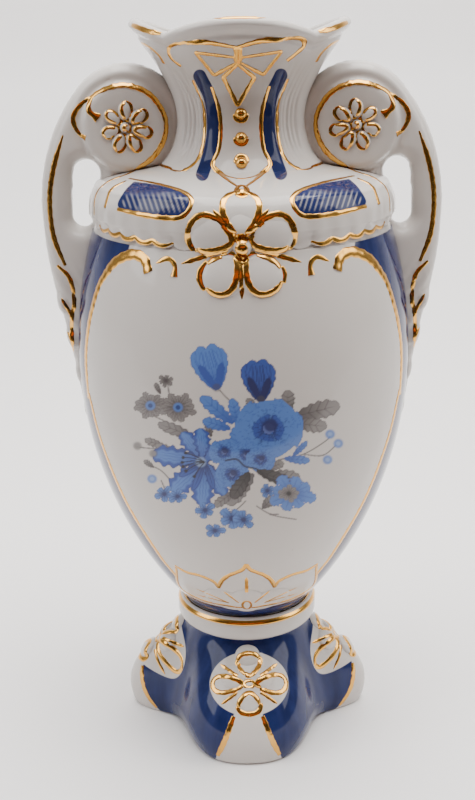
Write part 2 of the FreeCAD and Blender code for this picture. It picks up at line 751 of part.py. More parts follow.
def export_nodes():
    os.makedirs(PARTS_FOLDER, exist_ok=True)
    for obj in nodes:
        obj.Shape.exportStep(os.path.join(PARTS_FOLDER, obj.Label + ".step"))
        box = obj.Shape.BoundBox
        low = f"({box.XMin:.1f}, {box.YMin:.1f}, {box.ZMin:.1f})"
        high = f"({box.XMax:.1f}, {box.YMax:.1f}, {box.ZMax:.1f})"
        solids = len(obj.Shape.Solids)
        print(f"{obj.Label}: {solids} solid(s), {obj.Shape.Volume:.0f} mm3, {low} to {high}")


def main():
    fill_sheet()
    foot_form = foot()
    turned = (("collar_ring", draw_collar_ring), ("bowl", draw_bowl), ("shoulder", draw_shoulder))
    for label, draw in turned:
        finish(turned_body(label, draw), label)
    neck()
    form = body_form()
    right, left = handles(form)
    for name, turn in (("front", 0.0), ("back", 180.0)):
        shoulder_flower("shoulder_flower_" + name, form, turn)
        lotus("lotus_" + name, form, turn)
        neck_beads("neck_beads_" + name, form, turn)
    for name, side, turn in (
        ("front", 0.0, 0.0), ("back", 0.0, 180.0), ("right", math.pi / 2, 0.0), ("left", math.pi / 2, 180.0)
    ):
        foot_flower("foot_flower_" + name, foot_form, side, turn)
    for handle_part, side_name, side in ((right, "right", 1), (left, "left", -1)):
        for face_name, face in (("front", -1), ("back", 1)):
            rosette(f"rosette_{side_name}_{face_name}", handle_part, side, face)
    check_objects()
    export_nodes()


main()
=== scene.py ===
import json
import math

import bpy
import numpy as np
from bpy.props import FloatProperty, FloatVectorProperty, IntProperty, PointerProperty
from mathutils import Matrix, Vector
from mathutils.bvhtree import BVHTree

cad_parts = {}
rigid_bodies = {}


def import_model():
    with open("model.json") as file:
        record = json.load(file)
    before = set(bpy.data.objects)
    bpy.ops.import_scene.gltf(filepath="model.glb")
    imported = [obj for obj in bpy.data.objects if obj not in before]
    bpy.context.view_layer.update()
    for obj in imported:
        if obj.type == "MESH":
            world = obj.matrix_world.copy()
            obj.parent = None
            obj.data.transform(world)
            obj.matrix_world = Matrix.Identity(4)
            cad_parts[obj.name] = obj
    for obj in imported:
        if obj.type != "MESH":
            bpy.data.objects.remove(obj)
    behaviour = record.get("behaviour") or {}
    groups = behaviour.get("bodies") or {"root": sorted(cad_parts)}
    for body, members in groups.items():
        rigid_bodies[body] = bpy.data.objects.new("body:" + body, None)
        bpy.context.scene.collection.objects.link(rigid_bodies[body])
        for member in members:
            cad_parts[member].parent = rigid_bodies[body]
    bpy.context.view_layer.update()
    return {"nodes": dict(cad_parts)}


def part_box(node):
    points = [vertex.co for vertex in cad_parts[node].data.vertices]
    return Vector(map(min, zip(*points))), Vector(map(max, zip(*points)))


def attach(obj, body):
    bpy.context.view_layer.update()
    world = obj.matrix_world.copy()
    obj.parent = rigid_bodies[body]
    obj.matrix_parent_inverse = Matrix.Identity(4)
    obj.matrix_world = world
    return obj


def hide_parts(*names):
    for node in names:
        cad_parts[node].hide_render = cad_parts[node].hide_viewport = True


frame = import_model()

bl_info = {
    "name": "Rococo Porcelain Vase",
    "version": (1, 0, 0),
    "blender": (4, 5, 0),
    "location": "View3D > Sidebar > Vase",
    "description": "Builds a glazed, painted and gilded two-handled porcelain vase",
    "category": "Add Mesh",
}

# The vase stands on z = 0 with its axis on Z and its painted front towards -Y. Shapes are worked out in
# millimetres and scaled to metres when they become meshes.
#
# Painting and gilding are marked out as on a drawing board: each mark has a place (across, up) on the upright
# plane through the axis, and is thrown from the eye's point onto whatever surface of the vase lies on that
# line of sight. The back is marked out in the same way from the opposite side.

MM = 0.001
FRONT = -math.pi / 2


def node_box(node):
    """A CAD node's lowest and highest corners in millimetres."""
    low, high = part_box(node)
    return Vector(low) / MM, Vector(high) / MM


FOOT_TOP = node_box("foot")[1].z
FOOT_REACH = node_box("foot")[1].x
COLLAR_TOP = node_box("collar_ring")[1].z
COLLAR_RADIUS = node_box("collar_ring")[1].x
BOWL_RADIUS = node_box("bowl")[1].x
SEAM = node_box("bowl")[1].z
NECK_BASE = node_box("neck")[0].z
MOUTH_TOP = node_box("neck")[1].z
HANDLE_REACH = node_box("handle_right")[1].x
HANDLE_TOP = node_box("handle_right")[1].z
TAIL_END = node_box("handle_right")[0].z
DISC_THICKNESS = 2 * node_box("handle_right")[1].y


class VaseSizes(bpy.types.PropertyGroup):
    """Sizes of the glazed and gilded vase that a user would change."""

    eye_distance: FloatProperty(
        name="Eye distance", description="From the axis to the eye that marks are thrown from",
        default=392 * MM, min=0.1, unit="LENGTH", subtype="DISTANCE",
    )
    eye_height: FloatProperty(
        name="Eye height", description="Height of the eye above the table",
        default=249 * MM, unit="LENGTH", subtype="DISTANCE",
    )
    line_spread: FloatProperty(
        name="Line spread", description="Width of the gilt lines against their drawn width",
        default=1.2, min=0.5, max=2.0,
    )
    line_relief: FloatProperty(
        name="Gilt relief", description="How far a gilt line stands out, as a share of half its width",
        default=0.27, min=0.05, max=1.0,
    )
    hem_relief: FloatProperty(
        name="Hem relief", description="How far the shoulder's scalloped hem stands out of the bowl",
        default=1.0 * MM, min=0.0, unit="LENGTH", subtype="DISTANCE",
    )
    lip_thickness: FloatProperty(
        name="Lip thickness", description="Thickness of the rounded lip",
        default=4.2 * MM, min=0.5 * MM, unit="LENGTH", subtype="DISTANCE",
    )
    scallops: IntProperty(
        name="Scallops", description="Scallops round the shoulder's hem", default=44, min=8,
    )
    line_sides: IntProperty(
        name="Line sides", description="Sides of a gilt line's section", default=14, min=6,
    )


class VaseColours(bpy.types.PropertyGroup):
    """Colours of the body, the enamels and the gilding."""

    porcelain: FloatVectorProperty(
        name="Porcelain", description="Colour of the glazed white body",
        subtype="COLOR", size=3, min=0, max=1, default=(0.60, 0.565, 0.53),
    )
    cobalt: FloatVectorProperty(
        name="Cobalt", description="Colour of the cobalt ground",
        subtype="COLOR", size=3, min=0, max=1, default=(0.011, 0.018, 0.075),
    )
    gold: FloatVectorProperty(
        name="Gold", description="Colour of the gold lustre",
        subtype="COLOR", size=3, min=0, max=1, default=(0.74, 0.43, 0.10),
    )


def sizes():
    return bpy.context.scene.vase_sizes


def colours():
    return bpy.context.scene.vase_colours


# ------------------------------------------------------------------------------ small maths


def smooth(low, high, value):
    """0 below low, 1 above high and a smooth step between."""
    t = np.clip((value - low) / (high - low), 0, 1)
    return t * t * (3 - 2 * t)


def through(points, steps):
    """A smooth curve through 2-D or 3-D points, with steps places between each pair."""
    knots = np.array(points, float)
    before = 2 * knots[0] - knots[1]
    after = 2 * knots[-1] - knots[-2]
    padded = np.vstack([before, knots, after])
    t = np.linspace(0, 1, steps, endpoint=False)[:, None]
    spans = []
    for a, b, c, d in zip(padded, padded[1:], padded[2:], padded[3:]):
        cubic = (2 * a - 5 * b + 4 * c - d) * t**2 + (3 * b - a - 3 * c + d) * t**3
        spans.append(0.5 * (2 * b + (c - a) * t + cubic))
    return np.vstack(spans + [knots[-1:]])


def profile(pairs):
    """A smooth function through (position, value) pairs, whose positions rise."""
    curve = through(pairs, 12)
    return lambda x: np.interp(x, curve[:, 0], curve[:, 1])


def outline_distance(polygon, x, y):
    """Signed distance to a closed outline, negative inside it."""
    corners = np.array(polygon, float)
    best = np.full(x.shape, 1e9)
    inside = np.zeros(x.shape, bool)
    for (ax, ay), (bx, by) in zip(corners, np.roll(corners, -1, axis=0)):
        dx, dy = bx - ax, by - ay
        along = np.clip(((x - ax) * dx + (y - ay) * dy) / max(dx * dx + dy * dy, 1e-12), 0, 1)
        best = np.minimum(best, np.hypot(x - ax - along * dx, y - ay - along * dy))
        crosses = (ay > y) != (by > y)
        reach = ax + (y - ay) * dx / (dy if abs(dy) > 1e-12 else 1e-12)
        inside ^= crosses & (x < reach)
    return np.where(inside, -best, best)


def line_distance(line, x, y):
    """Distance to an open line."""
    best = np.full(x.shape, 1e9)
    for (ax, ay), (bx, by) in zip(line, line[1:]):
        dx, dy = bx - ax, by - ay
        along = np.clip(((x - ax) * dx + (y - ay) * dy) / max(dx * dx + dy * dy, 1e-12), 0, 1)
        best = np.minimum(best, np.hypot(x - ax - along * dx, y - ay - along * dy))
    return best


def on_board(points, turns=2):
    """Where points of the vase appear on the drawing board, and how far each stands in front of it. The vase
    is turned by whole fractions of a turn, so that each point is marked from the side that it faces."""
    x, y, z = points[:, 0], points[:, 1], points[:, 2]
    step = 2 * math.pi / turns
    turn = np.round((np.arctan2(y, x) - FRONT) / step) * step
    across = x * np.cos(turn) + y * np.sin(turn)
    depth = -x * np.sin(turn) + y * np.cos(turn)
    distance, height = sizes().eye_distance / MM, sizes().eye_height / MM
    scale = distance / (distance + depth)
    return across * scale, height + (z - height) * scale


# ------------------------------------------------------------------------------ meshes


def add_mesh(name, verts, faces, smooth_faces=True):
    """A mesh object from places in millimetres."""
    mesh = bpy.data.meshes.new(name)
    mesh.from_pydata((np.asarray(verts) * MM).tolist(), [], faces)
    mesh.update()
    if smooth_faces:
        mesh.shade_smooth()
    piece = bpy.data.objects.new(name, mesh)
    bpy.context.scene.collection.objects.link(piece)
    return piece


def shell(name, rings, bottom=None, top=None, loop=False, sharp=50):
    """A turned skin. Each ring is an (n, 3) array, and the path of rings has the outside on its right. Poles
    close the ends, or loop joins the last ring to the first."""
    rings = [np.asarray(ring) for ring in rings]
    count = len(rings[0])
    verts = np.vstack(rings)
    faces = []
    spans = len(rings) if loop else len(rings) - 1
    j = np.arange(count)
    k = (j + 1) % count
    for i in range(spans):
        a, b = i * count, ((i + 1) % len(rings)) * count
        faces.extend(np.column_stack([a + j, a + k, b + k, b + j]).tolist())
    if bottom is not None:
        pole = len(verts)
        verts = np.vstack([verts, [bottom]])
        faces.extend(np.column_stack([k, j, np.full(count, pole)]).tolist())
    if top is not None:
        pole = len(verts)
        verts = np.vstack([verts, [top]])
        last = (len(rings) - 1) * count
        faces.extend(np.column_stack([last + j, last + k, np.full(count, pole)]).tolist())
    piece = add_mesh(name, verts, faces)
    piece.data.set_sharp_from_angle(angle=math.radians(sharp))
    return piece


def ring(azimuths, radius, height):
    """Places round the axis at a radius and height, which may each vary with the azimuth."""
    radius = np.broadcast_to(radius, azimuths.shape)
    height = np.broadcast_to(height, azimuths.shape)
    return np.column_stack([radius * np.cos(azimuths), radius * np.sin(azimuths), height])


def vertex_places(piece):
    places = np.empty(len(piece.data.vertices) * 3)
    piece.data.vertices.foreach_get("co", places)
    return places.reshape(-1, 3) / MM


def store_amount(piece, name, amount):
    layer = piece.data.attributes.new(name, "FLOAT", "POINT")
    layer.data.foreach_set("value", np.asarray(amount, np.float32))


def store_colour(piece, name, rgba):
    layer = piece.data.color_attributes.new(name, "FLOAT_COLOR", "POINT")
    layer.data.foreach_set("color", np.asarray(rgba, np.float32).ravel())


def settle(piece, material, slot, *nodes):
    """Gives a finished piece its material, and lets it stand for its CAD nodes."""
    piece.data.materials.clear()
    piece.data.materials.append(material)
    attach(piece, "root")
    if nodes:
        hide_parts(*nodes)
    return piece


# ------------------------------------------------------------------------------ shader groups and materials


def group_socket(group, name, in_out, kind, default=None):
    socket = group.interface.new_socket(name=name, in_out=in_out, socket_type=kind)
    if default is not None:
        socket.default_value = default
    return socket


def math_node(nodes, operation, *values):
    node = nodes.new("ShaderNodeMath")
    node.operation = operation
    for socket, value in zip(node.inputs, values):
        socket.default_value = value
    return node


def glaze_surface_group():
    """Shared by every glazed surface: soft waviness for the bump, and faint pooling and specks for colour."""
    group = bpy.data.node_groups.get("Glaze surface")
    if group:
        return group
    group = bpy.data.node_groups.new("Glaze surface", "ShaderNodeTree")
    group_socket(group, "Wave scale", "INPUT", "NodeSocketFloat", 60.0)
    group_socket(group, "Speck amount", "INPUT", "NodeSocketFloat", 0.5)
    group_socket(group, "Wave", "OUTPUT", "NodeSocketFloat")
    group_socket(group, "Pooling", "OUTPUT", "NodeSocketFloat")
    group_socket(group, "Specks", "OUTPUT", "NodeSocketFloat")
    nodes, links = group.nodes, group.links
    start, end = nodes.new("NodeGroupInput"), nodes.new("NodeGroupOutput")
    place = nodes.new("ShaderNodeTexCoord")
    wave = nodes.new("ShaderNodeTexNoise")
    wave.inputs["Detail"].default_value = 3.0
    links.new(place.outputs["Object"], wave.inputs["Vector"])
    links.new(start.outputs["Wave scale"], wave.inputs["Scale"])
    pooling = nodes.new("ShaderNodeTexNoise")
    pooling.inputs["Scale"].default_value = 22.0
    pooling.inputs["Detail"].default_value = 4.0
    links.new(place.outputs["Object"], pooling.inputs["Vector"])
    speck = nodes.new("ShaderNodeTexVoronoi")
    speck.inputs["Scale"].default_value = 130.0
    links.new(place.outputs["Object"], speck.inputs["Vector"])
    near = math_node(nodes, "LESS_THAN", 0.0, 0.035)
    links.new(speck.outputs["Distance"], near.inputs[0])
    pick = nodes.new("ShaderNodeSeparateColor")
    links.new(speck.outputs["Color"], pick.inputs["Color"])
    rare = math_node(nodes, "GREATER_THAN", 0.0, 0.94)
    links.new(pick.outputs["Red"], rare.inputs[0])
    both = math_node(nodes, "MULTIPLY")
    links.new(near.outputs[0], both.inputs[0])
    links.new(rare.outputs[0], both.inputs[1])
    scaled = math_node(nodes, "MULTIPLY")
    links.new(both.outputs[0], scaled.inputs[0])
    links.new(start.outputs["Speck amount"], scaled.inputs[1])
    links.new(wave.outputs["Fac"], end.inputs["Wave"])
    links.new(pooling.outputs["Fac"], end.inputs["Pooling"])
    links.new(scaled.outputs[0], end.inputs["Specks"])
    return group


def cobalt_streaks_group():
    """The uneven depth of a cobalt ground that was washed on with a broad brush."""
    group = bpy.data.node_groups.get("Cobalt streaks")
    if group:
        return group
    group = bpy.data.node_groups.new("Cobalt streaks", "ShaderNodeTree")
    group_socket(group, "Cobalt", "INPUT", "NodeSocketColor")
    group_socket(group, "Colour", "OUTPUT", "NodeSocketColor")
    nodes, links = group.nodes, group.links
    start, end = nodes.new("NodeGroupInput"), nodes.new("NodeGroupOutput")
    place = nodes.new("ShaderNodeTexCoord")
    stretch = nodes.new("ShaderNodeMapping")
    stretch.inputs["Scale"].default_value = (260.0, 260.0, 34.0)
    stretch.inputs["Rotation"].default_value = (0.25, 0.2, 0.0)
    links.new(place.outputs["Object"], stretch.inputs["Vector"])
    streak = nodes.new("ShaderNodeTexNoise")
    streak.inputs["Scale"].default_value = 1.0
    streak.inputs["Detail"].default_value = 3.0
    links.new(stretch.outputs["Vector"], streak.inputs["Vector"])
    ramp = nodes.new("ShaderNodeValToRGB")
    ramp.color_ramp.elements[0].position = 0.30
    ramp.color_ramp.elements[0].color = (0.84, 0.85, 0.88, 1)
    ramp.color_ramp.elements[1].position = 0.72
    ramp.color_ramp.elements[1].color = (1.5, 1.45, 1.35, 1)
    links.new(streak.outputs["Fac"], ramp.inputs["Fac"])
    mix = nodes.new("ShaderNodeMix")
    mix.data_type = "RGBA"
    mix.blend_type = "MULTIPLY"
    mix.inputs["Factor"].default_value = 1.0
    links.new(start.outputs["Cobalt"], mix.inputs[6])
    links.new(ramp.outputs["Color"], mix.inputs[7])
    links.new(mix.outputs[2], end.inputs["Colour"])
    return group


def place_group(material, tree):
    node = material.node_tree.nodes.new("ShaderNodeGroup")
    node.node_tree = tree
    return node


def mix_colour(material, factor, first, second, blend="MIX"):
    """A colour mix. Each input is a socket, or a constant."""
    node = material.node_tree.nodes.new("ShaderNodeMix")
    node.data_type = "RGBA"
    node.blend_type = blend
    for index, value in ((0, factor), (6, first), (7, second)):
        if isinstance(value, bpy.types.NodeSocket):
            material.node_tree.links.new(value, node.inputs[index])
        else:
            node.inputs[index].default_value = value
    return node.outputs[2]


def glazed_material(name, painted):
    """Glazed porcelain. A painted surface reads its cobalt and its enamels from the piece's attributes."""
    material = bpy.data.materials.new(name)
    material.use_nodes = True
    nodes, links = material.node_tree.nodes, material.node_tree.links
    shader = nodes["Principled BSDF"]
    surface = place_group(material, glaze_surface_group())
    white = (*colours().porcelain, 1)
    grey = tuple(0.93 * c for c in colours().porcelain) + (1,)
    colour = mix_colour(material, surface.outputs["Pooling"], white, grey)
    if painted:
        streaks = place_group(material, cobalt_streaks_group())
        streaks.inputs["Cobalt"].default_value = (*colours().cobalt, 1)
        ground = nodes.new("ShaderNodeAttribute")
        ground.attribute_name = "ground"
        cover = nodes.new("ShaderNodeMapRange")
        cover.interpolation_type = "SMOOTHSTEP"
        cover.inputs["From Min"].default_value = -0.16
        cover.inputs["From Max"].default_value = 0.16
        links.new(ground.outputs["Fac"], cover.inputs["Value"])
        comb = nodes.new("ShaderNodeAttribute")
        comb.attribute_name = "comb"
        combed = mix_colour(material, comb.outputs["Fac"], streaks.outputs["Colour"], colour)
        colour = mix_colour(material, cover.outputs["Result"], colour, combed)
        enamel = nodes.new("ShaderNodeAttribute")
        enamel.attribute_name = "enamel"
        colour = mix_colour(material, enamel.outputs["Alpha"], colour, enamel.outputs["Color"])
    colour = mix_colour(material, surface.outputs["Specks"], colour, (0.12, 0.10, 0.09, 1))
    links.new(colour, shader.inputs["Base Color"])
    shader.inputs["Roughness"].default_value = 0.09
    shader.inputs["IOR"].default_value = 1.28
    shader.inputs["Coat Weight"].default_value = 0.06
    shader.inputs["Coat Roughness"].default_value = 0.04
    bump = nodes.new("ShaderNodeBump")
    bump.inputs["Strength"].default_value = 0.35
    bump.inputs["Distance"].default_value = 0.25 * MM
    links.new(surface.outputs["Wave"], bump.inputs["Height"])
    links.new(bump.outputs["Normal"], shader.inputs["Normal"])
    return material


def gold_material(name, tone=1.0):
    """Fired gold lustre: bright, slightly brushed, thinner and redder in patches."""
    material = bpy.data.materials.new(name)
    material.use_nodes = True
    nodes, links = material.node_tree.nodes, material.node_tree.links
    shader = nodes["Principled BSDF"]
    place = nodes.new("ShaderNodeTexCoord")
    wear = nodes.new("ShaderNodeTexNoise")
    wear.inputs["Scale"].default_value = 240.0
    wear.inputs["Detail"].default_value = 4.0
    links.new(place.outputs["Object"], wear.inputs["Vector"])
    gold = tuple(tone * c for c in colours().gold) + (1,)
    red = (gold[0] * 0.9, gold[1] * 0.72, gold[2] * 0.6, 1)
    links.new(mix_colour(material, wear.outputs["Fac"], gold, red), shader.inputs["Base Color"])
    rough = nodes.new("ShaderNodeMapRange")
    rough.inputs["To Min"].default_value = 0.10
    rough.inputs["To Max"].default_value = 0.30
    links.new(wear.outputs["Fac"], rough.inputs["Value"])
    links.new(rough.outputs["Result"], shader.inputs["Roughness"])
    shader.inputs["Metallic"].default_value = 1.0
    bump = nodes.new("ShaderNodeBump")
    bump.inputs["Strength"].default_value = 0.5
    bump.inputs["Distance"].default_value = 0.1 * MM
    links.new(wear.outputs["Fac"], bump.inputs["Height"])
    links.new(bump.outputs["Normal"], shader.inputs["Normal"])
    return material


def material(name):
    """The named material, made when it is first asked for."""
    found = bpy.data.materials.get(name)
    if found:
        return found
    if name == "gold_lustre":
        return gold_material(name)
    return glazed_material(name, painted=name == "painted_porcelain")


# ------------------------------------------------------------------------------ the body's form


def bowl_radius(height, offset=0.0):
    """The bowl's side is one arc that is upright at the belly."""
    base_radius, belly = 22.8, 140.0
    inset, rise = BOWL_RADIUS - base_radius, belly - COLLAR_TOP
    arc = (inset**2 + rise**2) / (2 * inset)
    return BOWL_RADIUS - arc + np.sqrt((arc + offset) ** 2 - (height - belly) ** 2)


BOWL_WALL = 3.5
BOWL_FLOOR = COLLAR_TOP + 6.0
STUB_RADIUS = 17.0
SHOULDER_OUTSIDE = profile([(0.0, 51.0), (0.25, 50.6), (0.42, 48.6), (0.58, 44.4), (0.76, 36.8), (1.0, 27.5)])
SHOULDER_HEIGHT = profile([
    (0.0, 189.0), (0.25, 194.0), (0.42, 197.9), (0.58, 200.4), (0.76, 202.2), (1.0, 204.0),
])
LOBE_TIPS = profile([
    (0.0, 27.5), (0.10, 24.2), (0.22, 22.4), (0.36, 21.7), (0.52, 22.9), (0.70, 26.6), (0.86, 31.4),
    (1.0, 35.7),
])
LOBE_NOTCHES = profile([
    (0.0, 27.5), (0.10, 23.8), (0.22, 21.2), (0.36, 20.1), (0.52, 21.0), (0.70, 24.8), (0.86, 29.4),
    (1.0, 33.2),
])


def from_lobe(azimuths, turns=4):
    """Angle from the nearest lobe, as a share of the way to the notch beside it."""
    step = 2 * math.pi / turns
    return np.abs((azimuths / step + 0.5) % 1.0 - 0.5) * 2


def mouth_height(azimuths, radius):
    """The lip is arched over each lobe and lowest at the notches."""
    arch = 76.0
    sideways = radius * np.sin(from_lobe(azimuths) * math.pi / 4)
    return MOUTH_TOP - sideways**2 / (2 * arch)


def neck_radius(azimuths, share):
    """The neck's outside: lobes, with four ribbed flutes between them that fade into lip and shoulder."""
    away = from_lobe(azimuths)
    tip, notch = LOBE_TIPS(share), LOBE_NOTCHES(share)
    plain = tip + (notch - tip) * away**2
    window = smooth(0.0, 0.16, share) * (1 - smooth(0.55, 0.9, share))
    flute = smooth(0.60, 0.80, away) * window
    ribs = 0.16 * np.cos(away * 2 * math.pi * 9) * flute
    return plain - 0.9 * flute + ribs


def neck_piece():
    azimuths = np.linspace(0, 2 * math.pi, 480, endpoint=False)
    thick, wall = sizes().lip_thickness / MM, 3.0
    top = mouth_height(azimuths, LOBE_TIPS(1.0)) - thick / 2
    rings = []
    for share in np.linspace(0, 1, 130):
        crease = 0.7 * np.exp(-(((share - 0.935) / 0.022) ** 2))
        rings.append(ring(
            azimuths, neck_radius(azimuths, share) - crease, NECK_BASE + (top - NECK_BASE) * share,
        ))
    lip = neck_radius(azimuths, 1.0) - thick / 2
    for turn in np.linspace(0, math.pi, 11)[1:-1]:
        rings.append(ring(azimuths, lip + thick / 2 * math.cos(turn), top + thick / 2 * math.sin(turn)))
    for share in np.linspace(1, 0, 40):
        depth = thick + (wall - thick) * smooth(1.0, 0.7, np.float64(share))
        away = from_lobe(azimuths)
        inner = LOBE_TIPS(share) + (LOBE_NOTCHES(share) - LOBE_TIPS(share)) * away**2 - depth
        rings.append(ring(azimuths, inner, NECK_BASE + (top - NECK_BASE) * share))
    return shell("glazed_neck", rings, loop=True)


def hem_height(azimuths):
    """The hem's scallops, lowest in the middle of each side and rising towards the handles."""
    away = np.abs(np.cos(azimuths))
    wave = np.abs(np.sin(azimuths * sizes().scallops / 2))
    return 184.6 + 2.2 * away**2 - 1.3 * wave**0.8


def drape(azimuths, share):
    """Soft folds of the shoulder's drapery, fading out at the neck."""
    folds = 0.28 * np.sin(azimuths * sizes().scallops / 2 + 0.6) ** 2 * (1 - smooth(0.1, 0.45, share))
    edge = 0.55 * np.exp(-(((share - 0.45) / 0.05) ** 2)) * smooth(0.25, 0.45, np.abs(np.cos(azimuths)))
    return folds + edge


def shoulder_piece():
    azimuths = np.linspace(0, 2 * math.pi, 720, endpoint=False)
    relief = sizes().hem_relief / MM * (0.15 + 0.85 * smooth(0.30, 0.48, np.abs(np.cos(azimuths))))
    hem = hem_height(azimuths)
    rings = []
    for turn in np.linspace(0.0, math.pi / 2, 5):
        rise, out = 1.1 * (1 - math.cos(turn)), relief * math.sin(turn)
        rings.append(ring(azimuths, bowl_radius(hem + rise) + out, hem + rise))
    start_height = SHOULDER_HEIGHT(0.0)
    for share in np.linspace(0, 1, 7)[1:-1]:
        height = hem + 1.1 + (start_height - hem - 1.1) * share
        radius = (bowl_radius(height) + relief) * (1 - share) + SHOULDER_OUTSIDE(0.0) * share
        rings.append(ring(azimuths, radius + drape(azimuths, 0.0) * share, height))
    for share in np.linspace(0, 1, 72):
        rings.append(ring(azimuths, SHOULDER_OUTSIDE(share) + drape(azimuths, share), SHOULDER_HEIGHT(share)))
    inside_radius = profile([(0.0, 24.5), (0.3, 33.0), (0.6, 41.5), (0.8, 45.6), (1.0, 47.1)])
    inside_height = profile([
        (0.0, 204.0), (0.05, 201.0), (0.3, 199.4), (0.6, 196.6), (0.8, 192.0), (1.0, SEAM),
    ])
    for share in np.linspace(0, 1, 16):
        rings.append(ring(azimuths, inside_radius(share), inside_height(share)))
    for share in np.linspace(0, 1, 4):
        height = SEAM + (hem - SEAM) * share
        rings.append(ring(azimuths, bowl_radius(height) - 0.35, height))
    return shell("glazed_shoulder", rings, loop=True)


def bowl_azimuths():
    """Azimuths round the bowl, close together on the front where the bouquet is painted."""
    front_half = math.radians(42)
    fine = np.linspace(FRONT - front_half, FRONT + front_half, 250)
    coarse = np.linspace(FRONT + front_half, FRONT - front_half + 2 * math.pi, 104)[1:-1]
    return np.concatenate([fine, coarse])


def bowl_piece():
    azimuths = bowl_azimuths()
    top, rim = 183.5, COLLAR_TOP
    heights = np.concatenate([
        np.linspace(rim, 88, 22)[:-1], np.linspace(88, 158, 222), np.linspace(158, top, 14)[1:],
    ])
    rings = [ring(azimuths, STUB_RADIUS, FOOT_TOP), ring(azimuths, STUB_RADIUS, rim)]
    rings += [ring(azimuths, bowl_radius(height), height) for height in heights]
    inside = np.linspace(top, BOWL_FLOOR, 16)
    rings += [ring(azimuths, bowl_radius(height, -BOWL_WALL), height) for height in inside]
    rings.append(ring(azimuths, bowl_radius(BOWL_FLOOR, -BOWL_WALL) * 0.6, BOWL_FLOOR))
    return shell("glazed_bowl", rings, bottom=(0, 0, FOOT_TOP), top=(0, 0, BOWL_FLOOR))


def collar_piece():
    """The round ring under the bowl, bored for the bowl's stub."""
    azimuths = np.linspace(0, 2 * math.pi, 160, endpoint=False)
    stem, shelf = 22.5, 24.3
    middle = (FOOT_TOP + COLLAR_TOP) / 2
    section = through(
        [
            (stem, FOOT_TOP), (COLLAR_RADIUS - 0.4, FOOT_TOP + 2.2), (COLLAR_RADIUS, middle),
            (COLLAR_RADIUS - 0.3, COLLAR_TOP - 2.4), (shelf, COLLAR_TOP - 0.3), (shelf - 1.6, COLLAR_TOP)
        ],
        6
    )
    rings = [ring(azimuths, radius, height) for radius, height in section]
    rings.append(ring(azimuths, STUB_RADIUS + 0.05, COLLAR_TOP - 0.05))
    rings.append(ring(azimuths, STUB_RADIUS + 0.05, FOOT_TOP))
    return shell("glazed_collar_ring", rings, loop=True)


# ------------------------------------------------------------------------------ the foot


FOOT_KNEE = 8.0
FOOT_STEM = 22.5


def foot_reach(height):
    """Radii of the foot's lobe ends and of its valleys at a height."""
    valley_radius, tuck_depth = 32.0, 1.8
    if height < FOOT_KNEE:
        tuck = tuck_depth * (1 - height / FOOT_KNEE) ** 2
        return FOOT_REACH - tuck, valley_radius - tuck
    rise = (height - FOOT_KNEE) / (FOOT_TOP - FOOT_KNEE)
    reach = FOOT_STEM + (FOOT_REACH - FOOT_STEM) * (1 - rise**2.2) ** 1.5
    return reach, FOOT_STEM + (valley_radius - FOOT_STEM) * (1 - rise**1.3) ** 1.2


def foot_radius(azimuths, height, inset=0.0):
    """Broad lobes in front and behind, narrow ones at the sides, and round valleys between them."""
    reach, valley = foot_reach(height)
    valley_bearing = math.radians(34)
    from_side = np.arctan2(np.abs(np.sin(azimuths)), np.abs(np.cos(azimuths)))
    narrow = ((1 + np.cos(math.pi * np.minimum(from_side / valley_bearing, 1))) / 2) ** 1.75
    away = np.minimum((math.pi / 2 - from_side) / (math.pi / 2 - valley_bearing), 1)
    broad = 1 - ((1 - np.cos(math.pi * away)) / 2) ** 1.4
    crest = np.where(from_side < valley_bearing, narrow, broad)
    return valley + (reach - valley) * crest - inset


def foot_piece():
    azimuths = np.linspace(0, 2 * math.pi, 640, endpoint=False)
    deck, wall, lift = 5.0, 4.0, 1.6
    arch = lift * smooth(0.35, 0.8, from_lobe(azimuths))
    rings = []
    for turn in np.linspace(-math.pi / 2, 0, 6):
        height = 1.0 + math.sin(turn)
        rings.append(ring(azimuths, foot_radius(azimuths, height) - 1.0 + math.cos(turn), height + arch))
    for height in np.linspace(1.3, FOOT_TOP, 92):
        lifted = height + arch * (1 - smooth(1.0, 14.0, np.float64(height)))
        rings.append(ring(azimuths, foot_radius(azimuths, height), lifted))
    for height in np.linspace(FOOT_TOP - deck, 1.0, 14):
        lifted = height + arch * (1 - smooth(1.0, 14.0, np.float64(height)))
        rings.append(ring(azimuths, foot_radius(azimuths, height, wall), lifted))
    rings.append(ring(azimuths, foot_radius(azimuths, 0.0, wall - 1.0), arch))
    outer_top = 6 + 92
    flat_top = ring(azimuths, 0.6 * FOOT_STEM, FOOT_TOP)
    underside = ring(azimuths, 0.5 * (FOOT_STEM - wall), FOOT_TOP - deck)
    top_pole, under_pole = [(0.0, 0.0, FOOT_TOP)], [(0.0, 0.0, FOOT_TOP - deck)]
    outside = rings[:outer_top] + [flat_top]
    inside = [underside] + rings[outer_top:]
    verts = np.vstack(outside + inside + [top_pole, under_pole])
    return foot_faces(verts, len(azimuths), len(outside), len(inside))


